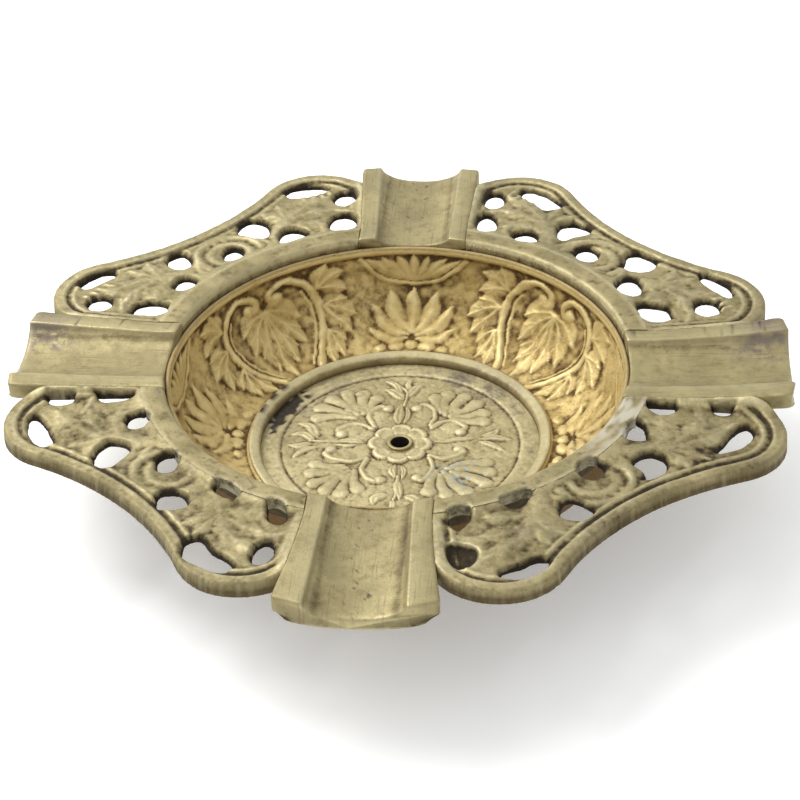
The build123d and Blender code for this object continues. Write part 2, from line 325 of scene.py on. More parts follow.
# %% Plate from a distance field
def plate_mesh(x, y, solid, free, top, under, values, rounding, draft):
    """Closed plate where solid > 0. Its top rounds down where free, the distance to a free edge, is small.

    top and under are grids of heights, and draft is how far the wall leans out, in mm.
    """
    cell = x[1] - x[0]
    gx, gy = np.gradient(blur(solid, 1), cell)
    solid = np.where(np.abs(solid) < 0.2 * cell, 0.2 * cell, solid)
    size = np.maximum(np.hypot(gx, gy), 1e-6)
    fields = [top, np.clip(free, 0, None), gx / size, gy / size, draft, under] + list(values.values())
    inside = solid > 0
    number = np.full(solid.shape, -1)
    number[inside] = np.arange(inside.sum())
    i, j = np.nonzero(inside)
    rows = [np.stack([x[i], y[j]] + [f[i, j] for f in fields], 1)]
    count = len(i)
    crossing = {}
    for axis in (0, 1):
        a = (slice(0, -1), slice(None)) if axis == 0 else (slice(None), slice(0, -1))
        b = (slice(1, None), slice(None)) if axis == 0 else (slice(None), slice(1, None))
        i, j = np.nonzero(inside[a] != inside[b])
        i2, j2 = (i + 1, j) if axis == 0 else (i, j + 1)
        t = solid[i, j] / (solid[i, j] - solid[i2, j2])
        mixed = [f[i, j] * (1 - t) + f[i2, j2] * t for f in fields]
        rows.append(np.stack([x[i] + (x[i2] - x[i]) * t, y[j] + (y[j2] - y[j]) * t] + mixed, 1))
        for k, (p, q) in enumerate(zip(i, j)):
            crossing[axis, p, q] = count + k
        count += len(i)
    table = np.vstack(rows)
    drop = rounding - np.sqrt(np.clip(rounding**2 - np.clip(rounding - table[:, 3], 0, None) ** 2, 0, None))
    upper = np.column_stack([table[:, :2], table[:, 2] - drop])

    full = inside[:-1, :-1] & inside[1:, :-1] & inside[1:, 1:] & inside[:-1, 1:]
    i, j = np.nonzero(full)
    faces = np.stack([number[i, j], number[i + 1, j], number[i + 1, j + 1], number[i, j + 1]], 1).tolist()
    some = (inside[:-1, :-1] | inside[1:, :-1] | inside[1:, 1:] | inside[:-1, 1:]) & ~full
    edges = []
    for i, j in zip(*np.nonzero(some)):
        corners = ((i, j), (i + 1, j), (i + 1, j + 1), (i, j + 1))
        sides = ((0, i, j), (1, i + 1, j), (0, i, j + 1), (1, i, j))
        face, edge_point = [], []
        for k in range(4):
            here, after = inside[corners[k]], inside[corners[(k + 1) % 4]]
            if here:
                face.append(number[corners[k]])
                edge_point.append(False)
            if here != after:
                face.append(crossing[sides[k]])
                edge_point.append(True)
        faces.append(face)
        n = len(face)
        for k in range(n):
            if edge_point[k] and edge_point[(k + 1) % n]:
                edges.append((face[k], face[(k + 1) % n]))
    rim = sorted({a for edge in edges for a in edge})
    place = {a: k for k, a in enumerate(rim)}
    rim_table = table[rim]
    layers = []
    for share in (0.35, 0.7):
        lean = rim_table[:, 6] * share
        z = upper[rim, 2] * (1 - share) + rim_table[:, 7] * share
        layers.append(np.column_stack([rim_table[:, 0] - rim_table[:, 4] * lean,
                                       rim_table[:, 1] - rim_table[:, 5] * lean, z]))
    lower = table[:, [0, 1, 7]].copy()
    lower[rim, 0] -= rim_table[:, 4] * rim_table[:, 6]
    lower[rim, 1] -= rim_table[:, 5] * rim_table[:, 6]
    verts = np.vstack([upper, *layers, lower])
    base = count + 2 * len(rim)
    steps = [
        lambda a: a,
        lambda a: count + place[a],
        lambda a: count + len(rim) + place[a],
        lambda a: base + a,
    ]
    for a, b in edges:
        for high, low in zip(steps[:-1], steps[1:]):
            faces.append((high(b), high(a), low(a), low(b)))
    faces += [tuple(base + p for p in reversed(face)) for face in faces[: int(full.sum() + some.sum())]]
    out = {}
    for k, key in enumerate(values):
        column = table[:, 8 + k]
        out[key] = np.concatenate([column, column[rim], column[rim], column])
    # The wall value runs from 0 on the top to 1 on the lower wall and the underside; the finish paints shade
    # with it.
    depth = np.concatenate([np.zeros(count), np.full(len(rim), 0.5), np.ones(len(rim)), np.ones(count)])
    out["wall"] = depth
    return verts, faces, out


def turn_quarter(verts, quarters):
    """Points turned about Z by a number of quarter turns."""
    v = np.array(verts, float)
    for _ in range(quarters % 4):
        v[:, 0], v[:, 1] = -v[:, 1].copy(), v[:, 0].copy()
    return v


# %% [markdown]
# ## The openwork panels
# One panel fills each corner between two rests. Its outline is two round lobes joined by a hollow waist, and
# it is the same on both sides of the diagonal. Inside a raised border moulding lie eleven holes, a ring and
# arcs of scrollwork round the middle one, and a leaf on each side whose stem rises from the collar.

# %% Panel outline and holes
REST_ROOT_HALF = 11.6
REST_TIP_HALF = 13.2
REST_RISE = REST_TOP - TOP
LOBE_RADIUS = 12.6
LOBE = np.array([22.5, REST_TIP - 1.6 - LOBE_RADIUS])
WAIST = COLLAR_OUT + 15.8
SCROLL = np.array([1.0, 1.0]) * (COLLAR_OUT + 4.1) / math.sqrt(2)


def swapped(points):
    """The mirror image in the diagonal."""
    return np.asarray(points, float)[..., ::-1]


# How far each arm strays from its pattern, in millimetres: it reaches further, lifts at the tip, flares
# and leans to its left. Hand-filed arms are never four of a kind.
ARMS = {"right": (1.9, 1.5, 0.3, -0.8), "back": (-0.7, 0.2, 0.0, 0.2), "left": (0.5, 0.2, 0.1, 0.5),
        "front": (0.9, 0.0, 1.3, -1.1)}


def rest_sides(x, arm):
    """Where a rest's right and left sides lie at a distance x from the dish's middle."""
    s = np.clip((x - COLLAR_OUT) / (REST_TIP - COLLAR_OUT), 0, 1)
    _, _, flare, lean = ARMS[arm]
    half = REST_ROOT_HALF + (REST_TIP_HALF - REST_ROOT_HALF) * s + flare * s**2
    return lean - half, lean + half


def panel_edge():
    """Closed outline of the panel between +X and +Y."""
    along, across = LOBE.sum() / math.sqrt(2), (LOBE[1] - LOBE[0]) / math.sqrt(2)
    gap = WAIST - along
    waist_radius = (gap**2 + across**2 - LOBE_RADIUS**2) / (2 * (LOBE_RADIUS - gap))
    open_angle = math.degrees(math.atan2(across, WAIST + waist_radius - along))
    lobe = arc(LOBE, LOBE_RADIUS, 152, 45 - open_angle, 40)
    center = np.array([1.0, 1.0]) * (WAIST + waist_radius) / math.sqrt(2)
    waist = arc(center, waist_radius, 225 + open_angle * -1, 225 + open_angle, 40)[1:-1]
    waist = waist if np.hypot(*(waist[0] - lobe[-1])) < np.hypot(*(waist[-1] - lobe[-1])) else waist[::-1]
    return np.vstack([[[9.0, 30], [9.0, COLLAR_OUT]], lobe, waist, swapped(lobe)[::-1],
                      [[COLLAR_OUT, 9.0], [30, 9.0]]])


def oval(x, y, half_x, half_y, turn=0):
    return ellipse((x, y), half_x, half_y, turn, 24)


def opening(*points):
    return smooth(points, 4, closed=True)


# Each panel was pierced by hand, so its holes are its own. They are given in the dish's own x and y.
PANEL_HOLES = {
    "back_right": [
        oval(16.7, 63.3, 2.5, 3.7, -12), oval(15.4, 53.3, 2.5, 4.2), oval(23.9, 47.5, 3.0, 2.9),
        oval(37.1, 40.9, 2.8, 3.1),
        opening((22.3, 66.0), (22.8, 68.4), (25.2, 68.8), (28.3, 66.8), (31.2, 63.4), (32.2, 61.4),
                (31.0, 60.2), (27.8, 59.4), (25.5, 61.8), (23.2, 64.3)),
        opening((30.6, 51.3), (31.6, 53.3), (34.4, 54.0), (37.3, 52.8), (38.4, 51.0), (37.6, 49.6),
                (34.4, 48.1), (32.2, 46.5), (30.8, 48.2)),
        opening((45.8, 41.6), (48.9, 41.8), (52.1, 38.5), (51.2, 36.0), (49.6, 34.4), (47.2, 34.2),
                (44.4, 35.4), (45.0, 38.8)),
        oval(45.9, 28.2, 2.9, 3.9), oval(61.7, 20.8, 2.8, 3.1),
        opening((47.4, 21.2), (50.0, 22.0), (53.6, 20.9), (54.6, 18.2), (54.2, 16.2), (50.0, 14.9),
                (48.2, 16.4)),
        opening((60.3, 32.1), (61.6, 33.8), (64.4, 32.1), (66.8, 29.2), (67.4, 26.3), (66.2, 24.7),
                (63.9, 26.6), (61.8, 29.1)),
    ],
    "back_left": [
        oval(-16.4, 63.5, 2.8, 3.1), oval(-15.9, 52.9, 3.3, 4.0), oval(-38.2, 39.1, 2.3, 2.9),
        oval(-46.6, 27.0, 2.5, 2.9),
        opening((-29.5, 45.8), (-29.0, 48.8), (-26.7, 50.2), (-23.5, 49.1), (-22.6, 47.0), (-24.8, 45.2),
                (-28.0, 43.2)),
        opening((-30.4, 65.4), (-29.8, 67.6), (-26.7, 69.2), (-22.6, 69.6), (-20.6, 68.6), (-20.8, 66.6),
                (-24.4, 64.3), (-28.3, 63.5)),
        opening((-39.0, 49.3), (-38.1, 52.5), (-36.1, 54.0), (-33.0, 52.8), (-31.4, 49.9), (-31.9, 46.8),
                (-34.4, 45.3), (-37.4, 47.0)),
        opening((-52.3, 36.6), (-51.4, 38.4), (-49.2, 39.6), (-47.2, 37.9), (-46.4, 34.8), (-48.3, 32.8),
                (-51.1, 33.8)),
        opening((-55.8, 14.9), (-56.2, 17.2), (-55.0, 19.4), (-51.7, 20.2), (-48.8, 19.1), (-48.5, 16.5),
                (-49.4, 14.8)),
        oval(-63.3, 19.0, 2.8, 2.8),
        opening((-69.2, 25.6), (-68.4, 28.2), (-65.4, 31.4), (-62.4, 31.8), (-62.0, 29.6), (-64.4, 26.8),
                (-67.0, 24.6)),
    ],
    "front_left": [
        oval(-64.2, -14.8, 2.9, 2.7), oval(-47.8, -21.9, 2.5, 2.8), oval(-39.9, -35.0, 2.3, 3.1),
        oval(-18.7, -60.4, 2.1, 3.4, -12),
        opening((-58.0, -12.8), (-57.4, -11.2), (-51.4, -11.0), (-50.0, -12.6), (-50.3, -14.6),
                (-53.3, -15.7), (-56.1, -15.9)),
        opening((-69.0, -24.6), (-69.0, -21.4), (-67.2, -21.2), (-65.3, -23.4), (-63.3, -26.8),
                (-62.3, -29.6), (-64.1, -30.8), (-67.3, -28.4)),
        opening((-54.2, -34.6), (-54.0, -31.2), (-51.7, -28.6), (-48.3, -29.4), (-47.4, -31.4),
                (-48.8, -34.6), (-51.0, -37.2), (-53.4, -36.2)),
        opening((-40.2, -44.8), (-38.6, -43.5), (-35.6, -43.8), (-33.9, -46.3), (-35.0, -48.3),
                (-38.1, -49.1), (-40.0, -47.9)),
        opening((-30.2, -42.5), (-29.6, -40.4), (-28.1, -40.7), (-24.6, -44.2), (-27.2, -45.6),
                (-29.2, -44.2)),
        opening((-19.7, -46.9), (-18.7, -45.8), (-16.4, -47.2), (-15.6, -50.6), (-16.6, -52.5),
                (-19.0, -51.3)),
        opening((-33.4, -58.8), (-32.2, -56.8), (-29.9, -56.5), (-27.6, -59.8), (-24.2, -62.3),
                (-23.0, -64.7), (-25.3, -66.1), (-29.8, -64.6), (-32.7, -62.3)),
    ],
    "front_right": [
        opening((48.5, -13.6), (50.2, -11.6), (53.6, -11.6), (54.5, -13.6), (54.2, -15.8), (51.7, -16.7),
                (49.6, -15.8)),
        oval(63.2, -14.1, 2.4, 2.7),
        opening((44.4, -24.9), (45.0, -21.6), (46.6, -19.0), (48.4, -20.2), (49.0, -23.4), (48.2, -25.0)),
        opening((60.8, -28.3), (62.2, -25.9), (64.2, -22.3), (66.9, -19.7), (68.6, -20.7), (68.3, -23.5),
                (65.9, -26.8), (62.2, -28.6)),
        opening((46.0, -32.4), (46.8, -30.0), (49.4, -28.9), (52.0, -30.2), (52.5, -32.9), (51.0, -35.7),
                (47.6, -37.2), (48.0, -34.9)),
        oval(38.3, -34.3, 2.8, 3.1),
        opening((32.6, -46.8), (33.3, -43.7), (35.6, -43.1), (38.7, -45.2), (39.2, -46.8), (37.7, -49.1),
                (35.6, -49.3), (33.4, -48.6)),
        opening((22.0, -44.6), (22.8, -43.6), (26.1, -41.4), (28.0, -41.8), (27.0, -44.8), (25.0, -46.5),
                (22.7, -46.0)),
        opening((12.9, -49.8), (13.6, -47.4), (16.5, -46.6), (17.4, -48.4), (16.5, -51.3), (14.9, -53.0),
                (13.3, -51.9)),
        opening((22.7, -65.4), (23.0, -63.4), (26.1, -61.9), (28.9, -60.0), (31.6, -59.9), (30.8, -63.0),
                (27.7, -65.4), (24.0, -65.9)),
    ],
}
# One place was never pierced right through.
BLIND = opening((13.4, -58.0), (15.2, -57.0), (18.4, -58.0), (18.7, -60.8), (17.1, -63.3), (15.6, -63.6),
                (13.8, -61.4))


# %% Panel relief
def panel_relief(x, y, ribs):
    """Leaves, scrolls and veins of one panel, with a row of short ribs on each leaf."""
    r = Relief(x, y)
    for side in (lambda p: np.asarray(p, float), swapped):
        r.leaf(side([(29.6, 42.2), (28.9, 47.5), (28.0, 52.5), (26.0, 57.5), (22.8, 62.6)]), 5.4, 0.6, -0.25)
        for tip, width in (((19.2, 51.6), 5.4), ((19.0, 57.8), 5.8), ((19.8, 64.2), 5.2),
                           ((34.8, 56.2), 4.6), ((31.6, 59.6), 4.2)):
            foot = np.array([27.6, 51.4]) if tip[0] > 25 else np.array([26.8, 50.6 + 0.45 * (tip[1] - 51.6)])
            middle = (foot + tip) / 2 + (0.2, 0.8)
            r.leaf(side([foot, middle, tip]), width, 0.62, -0.2, 3)
            r.cord(side([foot, middle, tip]), 0.8, 0.78, 0.4)
        r.cord(side([(30.4, 40.6), (30.9, 43.4), (34.4, 45.2), (39.0, 45.9)]), 1.8, 0.6, 1.1)
        r.cord(side([(12.9, 57.6), (16.4, 58.0), (20.2, 58.8)]), 1.8, 0.5, 0.9)
        r.cord(side([(19.8, 46.0), (19.7, 49.6), (21.4, 53.0)]), 1.8, 0.55, 0.9)
        for k in range(ribs):
            start = np.array([19.9 + 1.7 * k, 64.6 - 1.15 * k])
            r.cord(side([start, start + (1.1, 2.3)]), 0.9, 0.8, 0.5)
        r.leaf(side([(33.0, 59.4), (37.8, 53.6), (43.2, 48.4)]), 3.0, 0.5, -0.2)
    for radius, start, end, width, height in ((4.3, 0, 360, 1.8, 0.7), (7.2, -58, 148, 2.0, 0.75),
                                              (9.3, 2, 88, 1.4, 0.5)):
        r.cord(arc(SCROLL, radius, start, end, 30), width, height)
    for k in range(-1, 2):
        r.leaf(SCROLL + arc((0, 0), 1.0, 45, 45, 1) * np.array([[5.0], [6.6], [8.4]]) + (-1.6 * k, 1.6 * k),
               1.5, 0.6, 0.2)
    return r.h


# %% Panel mesh
PANEL_CELL = 0.24
BORDER_WIDTH = 2.9
PANEL_RIM_LIFT = 0.45
# Painted shade for each panel: the front pair is darkened as if turned away from the light, the back pair
# hardly at all.
PANEL_PAINTED_SHADE = {"back_right": 0.05, "back_left": -0.06, "front_left": 0.3, "front_right": 0.34}
QUARTER_ARMS = ("right", "back", "left", "front")


def shortened(quarters, x, y):
    """The front pair of lobes stops a little short of the back pair, and the right one is a little wide."""
    def pull(a):
        return a * (1 + 0.052 * np.clip((a - 28) / 30, 0, 1))

    if quarters == 2:
        return x, pull(y)
    if quarters == 3:
        return pull(x), y * (1 - 0.016 * np.clip((y - 50) / 15, 0, 1))
    return x, y


def panel_arrays(corner, quarters):
    """One panel, drawn between +X and +Y: points, faces and values."""
    span = np.arange(9.6, REST_TIP + 1.5, PANEL_CELL)
    x, y = np.meshgrid(span, span, indexing="ij")
    px, py = shortened(quarters, x, y)
    outer = loop_distance(px, py, panel_edge())
    loops = [turn_quarter(loop, -quarters) for loop in PANEL_HOLES[corner]]
    holes = np.max([loop_distance(x, y, loop) for loop in loops], axis=0)
    holes += 0.12 * grain(x, y, 1.6, 8 + quarters)
    collar = np.hypot(x, y) - COLLAR_OUT
    side = np.minimum(x + rest_sides(y, QUARTER_ARMS[(quarters + 1) % 4])[0],
                      y - rest_sides(x, QUARTER_ARMS[quarters])[1])
    holes = np.minimum(holes, side - 0.7)
    solid = np.min([outer, -holes, collar, side], axis=0)
    joint = np.clip(np.minimum(collar, side), 0, None)

    crest = np.clip((BORDER_WIDTH - outer) / 0.8, 0, 1)
    moulding = PANEL_RIM_LIFT * crest**2 * (3 - 2 * crest)
    line = 0.3 * np.exp(-(((outer - BORDER_WIDTH - 1.3)
                           / 0.6) ** 2)) - 0.12 * np.exp(-(((outer - BORDER_WIDTH - 0.1) / 0.4) ** 2))
    fade = np.clip(joint / 1.8, 0, 1)
    bent_x, bent_y = (a + 0.3 * grain(x, y, 2.6, k) for a, k in ((px, 21), (py, 22)))
    relief = blur(panel_relief(bent_x, bent_y, 4 if quarters < 2 else 0),
                  1) * np.clip((outer - BORDER_WIDTH - 0.2) / 1.8, 0, 1) * fade
    relief *= (0.68 if quarters < 2 else 0.5) + 0.25 * grain(x, y, 4.0, 23)
    height = np.maximum(np.maximum(relief, line * fade), moulding)
    arm_x, arm_y = (np.clip((a - COLLAR_OUT) / (REST_TIP - COLLAR_OUT), 0, 1) for a in (x, y))
    lift_x, lift_y = ARMS[QUARTER_ARMS[quarters]][1], ARMS[QUARTER_ARMS[(quarters + 1) % 4]][1]
    flush = np.where(x > y, REST_RISE * arm_x + lift_x * arm_x**2, REST_RISE * arm_y + lift_y * arm_y**2)
    base = PANEL_TOP - 0.1
    near = np.exp(-((joint / 1.9) ** 2)) * np.clip((outer + 1.0) / 2.5, 0.25, 1)
    height = height * (1 - near) + np.maximum(TOP + flush - 0.12 - base, 0) * near
    if corner == "front_right":
        blind = loop_distance(x, y, turn_quarter(BLIND, -quarters))
        height -= 1.5 * np.clip((blind + 0.3) / 1.3, 0, 1) ** 0.6
    height += 0.07 * grain(x, y, 3.1, 15) + 0.05 * grain(x, y, 1.1, 16) + 0.03 * grain(x, y, 0.5, 17)
    lip = 0.35 * np.exp(-np.clip(-holes, 0, None) / 0.8)
    grime, wear = hollows_and_ridges(height - lip, PANEL_CELL)
    grime *= np.clip(outer / 1.5, 0, 1)
    # Adds the panel's painted shade to its grime.
    grime = np.clip(grime + PANEL_PAINTED_SHADE[corner] * (0.6 + grain(x, y, 5.0, 24)), 0, 1)
    thin = np.clip(1.25 + holes / 2.4, 0, 1)
    under = PANEL_UNDER + 1.15 * thin
    draft = np.where(-holes < outer, 0.35, 0.15) * (joint > 0.3)
    # bore marks the walls of holes, which the finish paints nearly black as shade.
    values = {"grime": grime, "wear": wear, "bore": (-holes < outer).astype(float),
              "bloom": 0.6 * np.clip(0.6 * grain(x, y, 6.0, 18 + quarters) - 0.1, 0, 1)}
    return plate_mesh(span, span, solid, np.minimum(outer, -holes), base + height, under, values, 0.7, draft)


pieces = {}
for quarters, corner in enumerate(("back_right", "back_left", "front_left", "front_right")):
    name = f"openwork_panel_{corner}"
    verts, faces, values = panel_arrays(corner, quarters)
    pieces[name] = make_piece(name + "_cast", turn_quarter(verts, quarters), faces, values, 60)

# %% [markdown]
# ## The collar
# The collar is a flat ring, broken by the four rests that are let into it. Its inner edge is rubbed round.
# It uses the same plate maker as the panels, so its ends fit the tapering rests, with a plain ring under the
# rests that ties the four lengths together.

# %% Collar
COLLAR_CELL = 0.24
COLLAR_BITE = 1.3
COLLAR_PLATE_UNDER = TOP - 2.5


def collar_arrays():
    """Four flat lengths between the rests and the ring under them."""
    span = np.arange(-COLLAR_OUT - 1, COLLAR_OUT + 1, COLLAR_CELL)
    x, y = np.meshgrid(span, span, indexing="ij")
    radius = np.hypot(x, y)
    gap = np.full_like(x, 99.0)
    for quarters, arm in enumerate(QUARTER_ARMS):
        ahead, across = ((x, y), (y, -x), (-x, -y), (-y, x))[quarters]
        right, left = rest_sides(COLLAR_OUT, arm)
        gap = np.minimum(gap, np.where(ahead > 0, np.maximum(across - left, right - across), 99))
    loops = [loop for corner in PANEL_HOLES.values() for loop in corner
             if np.hypot(*loop.T).min() < COLLAR_OUT]
    holes = np.max([loop_distance(x, y, loop) for loop in loops], axis=0)
    holes = blur(np.minimum(holes, radius - COLLAR_OUT + COLLAR_BITE), 2)
    solid = np.min([radius - MOUTH, COLLAR_OUT - radius, gap, -holes], axis=0)
    edge = np.minimum(radius - MOUTH, np.minimum(COLLAR_OUT - radius, -holes))
    top = TOP + 0.05 * grain(x, y, 5.0, 11) + 0.03 * grain(x, y, 1.3, 12)
    top -= 0.9 * np.exp(-np.clip(radius - MOUTH, 0, None) / 0.45)
    wear = np.clip(1.2 - edge / 0.9, 0, 1) * 0.8
    grime = np.clip(0.35 * grain(x, y, 4.0, 13) + 0.2 * np.exp(-(((COLLAR_OUT - radius) / 0.5) ** 2)), 0, 1)
    # Painted shade on the walls where the holes bite into the collar, laid into the grime.
    grime = np.clip(grime + 0.9 * np.exp(-np.clip(-holes, 0, None) / 0.5), 0, 1)
    edge_scrape = np.clip(2.5 * grain(x, y, 1.5, 14) - 1.2, 0, 1) * 0.5
    angle = np.degrees(np.arctan2(y, x))
    # A painted highlight: a pale band of glare on the collar, south-east of the right rest, which also
    # clears the grime there.
    pale = np.clip(1.4 - np.abs(angle + 24) / 12, 0,
                   1) * np.clip(0.9 + 1.2 * grain(angle * 0.3, radius, 0.9, 19), 0, 1)
    values = {"grime": np.maximum(grime, edge_scrape) * (1 - pale), "wear": wear, "pale": pale,
              "bore": (-holes < COLLAR_OUT - radius).astype(float)}
    under = np.full_like(top, COLLAR_PLATE_UNDER)
    free = np.minimum(radius - MOUTH, -holes)
    verts, faces, out = plate_mesh(span, span, solid, free, top, under, values, 0.4, np.zeros_like(top))
    ring, ring_faces = turned_mesh(
        [(MOUTH, COLLAR_UNDER), (MOUTH + 1.7, COLLAR_UNDER),
         (COLLAR_OUT - COLLAR_BITE - 0.2, COLLAR_PLATE_UNDER - 0.2),
         (COLLAR_OUT - COLLAR_BITE - 0.2, COLLAR_PLATE_UNDER), (MOUTH, COLLAR_PLATE_UNDER)], 360)
    faces = faces + (ring_faces + len(verts)).tolist()
    # The ring under the rests is all wall, for painted shade, and holds grime.
    extra = {"grime": 0.6, "wear": 0.0, "wall": 1.0, "pale": 0.0, "bore": 0.0}
    out = {key: np.concatenate([value, np.full(len(ring), extra[key])]) for key, value in out.items()}
    return np.vstack([verts, ring]), faces, out


pieces["collar_ring"] = make_piece("collar_ring_cast", *collar_arrays(), 50)

# %% [markdown]
# ## The rests
# Each rest is a short trough: a deep U groove between two flat ridges that climb a little towards the tip.
# A trough is a section pushed along a line, so the mesh is lofted: the same closed section is drawn at many
# stations, widened and raised as it goes, and pulled in slightly at both ends for worn edges.

# %% Rest
GROOVE_ROOT_HALF = 7.9
GROOVE_TIP_HALF = 8.9
GROOVE_DEPTH = 2.3
REST_SIDE = 2.4


def rest_section(x, arm):
    """Closed section of a rest at x: (across, height) points and how deep each lies in the groove."""
    s = np.clip((x - COLLAR_OUT) / (REST_TIP - COLLAR_OUT), 0, 1)
    right, left = rest_sides(x, arm)
    _, lift, _, lean = ARMS[arm]
    ridge = TOP + REST_RISE * s + lift * s**2
    groove = GROOVE_ROOT_HALF + (GROOVE_TIP_HALF - GROOVE_ROOT_HALF) * s
    bottom = TOP - GROOVE_DEPTH + lift * s**2
    t = np.linspace(-1, 1, 41)[1:-1]
    trough = np.stack([lean + t * groove,
                       bottom + (ridge - bottom) * (1 - (1 - np.abs(t) ** 2.4) ** (1 / 1.6))], 1)
    low = TOP - REST_SIDE + lift * s**2
    floor = REST_UNDER + lift * s**2 - 0.6 * s
    under = np.linspace(1, -1, 25)[1:-1]
    belly = np.stack([(left + right) / 2 + under * (left - right) / 2,
                      floor + (low - floor) * np.abs(under) ** 2.6], 1)
    points = np.vstack([[(right, low), (right, ridge), (lean - groove, ridge)], trough,
                        [(lean + groove, ridge), (left, ridge), (left, low)], belly])
    radii = [0.5, 0.7, 1.5] + [0] * len(trough) + [1.5, 0.7, 0.5] + [0] * len(belly)
    loop = rounded(points, radii)
    depth = np.clip((ridge - loop[:, 1]) / (ridge - bottom), 0, 1) * (np.abs(loop[:, 0] - lean) < groove)
    return loop, depth


def rest_arrays(arm, seed):
    """A rest lying along +X."""
    reach, _, _, lean = ARMS[arm]
    stations = np.concatenate([[0, 0.004, 0.012], np.linspace(0.03, 0.95, 60), [0.968, 0.984, 0.995, 1]])
    pull = np.concatenate([[0.25, 0.08, 0], np.zeros(60), [0.03, 0.1, 0.25, 0.5]])
    rows, depths, across, along = [], [], [], []
    for s, inset in zip(stations, pull):
        x = MOUTH + s * (REST_TIP - MOUTH)
        loop, depth = rest_section(x, arm)
        tangent = np.roll(loop, -1, 0) - np.roll(loop, 1, 0)
        normal = np.stack([tangent[:, 1], -tangent[:, 0]], 1) / np.maximum(np.hypot(*tangent.T),
                                                                           1e-9)[:, None]
        toward = np.sign(np.sum(normal * (loop.mean(0) - loop), 1).sum())
        loop = loop + normal * toward * inset
        start = np.sqrt(MOUTH**2 - loop[:, 0] ** 2)
        corner = np.clip(np.abs(loop[:, 0] - lean) - (REST_TIP_HALF - 2.6), 0, 2.6)
        end = REST_TIP + reach - (2.6 - np.sqrt(2.6**2 - corner**2)) * 0.6
        px = start + s * (end - start)
        dent = 0.04 * grain(px * 0.4, loop[:, 0] + 20, 3.0, seed) + 0.02 * grain(px, loop[:, 0] + 20, 1.2,
                                                                                 seed + 1)
        rows.append(np.column_stack([px, loop[:, 0], loop[:, 1] + dent]))
        depths.append(depth)
        across.append(loop[:, 0] - lean)
        along.append(px)
    verts = np.vstack(rows)
    cols = len(rows[0])
    faces = grid_faces(len(rows), cols, close_cols=True).tolist()
    faces.append(list(range(cols))[::-1])
    faces.append([len(verts) - cols + k for k in range(cols)])
    across, along, depths = (np.concatenate(a) for a in (across, along, depths))
    edge = np.clip(1 - (REST_TIP + reach - along) / 1.2, 0, 1)
    ridge = np.clip(1 - np.abs(np.abs(across) - 8.4 - 0.03 * (along - COLLAR_OUT)) / 0.7, 0, 1)
    # Painted shade: the rest at the front is darkened in patches, as if turned away from the light.
    front_painted_shade = 0.25 * np.clip(0.5 + grain(along, across + 20, 6.0, seed + 4), 0, 1) * (arm == "front")
    grime = np.clip(0.5 * np.exp(-((np.abs(across) - 7.0) / 0.9) ** 2) * (verts[:, 2] < TOP - 0.6)
                    + front_painted_shade, 0, 1)
    # The underside is marked as wall, and gets painted shade under the rest.
    under = (verts[:, 2] < TOP - REST_SIDE + 0.3) & (np.abs(depths) < 0.05)
    far = {"right": 1, "left": -1}.get(arm, 0)
    blotch = np.exp(-(((along - 71.5) / 5.0) ** 2) - ((across - far * 8.5) / 4.5) ** 2) * abs(far)
    bloom = np.clip(3.2 * blotch * (0.6 + 0.6 * grain(along, across + 20, 2.6, seed + 2)), 0, 1)
    pits = np.clip(6 * (grain(along, across + 20, 0.9, seed + 3) - 0.72), 0,
                   1) * (np.abs(across - far * 11) < 2.5)
    return verts, faces, {"grime": grime, "wear": np.maximum(edge, ridge) * 0.7, "wall": under.astype(float),
                          "run": along, "side": across, "bloom": bloom, "tar": 0.8 * pits}


for quarters, side in enumerate(QUARTER_ARMS):
    name = f"rest_{side}"
    verts, faces, values = rest_arrays(side, 21 + 5 * quarters)
    pieces[name] = make_piece(name + "_cast", turn_quarter(verts, quarters), faces, values, 45)

# %% [markdown]
# ## The bowl
# The bowl is a revolved cup whose wall carries the finest work: four palmettes framed by scrolls on the
# diagonals, and a fan, a tulip and beads above each axis. The pattern is drawn on the unrolled wall, with
# u round the bowl and v down from the rim, and the height is then laid along the wall's own normal.

# %% Bowl relief
WALL_FOOT_R = RING_OUT
WALL_FOOT_Z = MEDALLION_TOP + 1.8
WALL_LIP_R = 44.9
WALL_MEAN_R = 38.0
WALL_LENGTH = 25.0
QUARTER = WALL_MEAN_R * math.pi / 2


def mirrored(u0, side):
    """Moves a point list from a motif's own axis to u0, mirrored when side is -1."""
    return lambda points: [(u0 + side * p[0], p[1]) for p in points]


def broad_leaf(r, at, foot, tips, width, height):
    """A leaf of several lobes, each with a raised vein."""
    foot = np.asarray(foot, float)
    for tip in tips:
        middle = (foot + tip) / 2 + (0.0, -0.5)
        r.leaf(at([foot, middle, tip]), width, height, -0.1)
        r.cord(at([foot, middle, tip]), 0.8, height + 0.36, 0.35)
        for k in (-1, 1):
            step = np.array([tip[1] - foot[1], foot[0] - tip[0]]) * 0.16 * k
            r.cord(at([middle, middle * 0.45 + np.asarray(tip) * 0.55 + step]), 0.55, height + 0.2, 0.25)


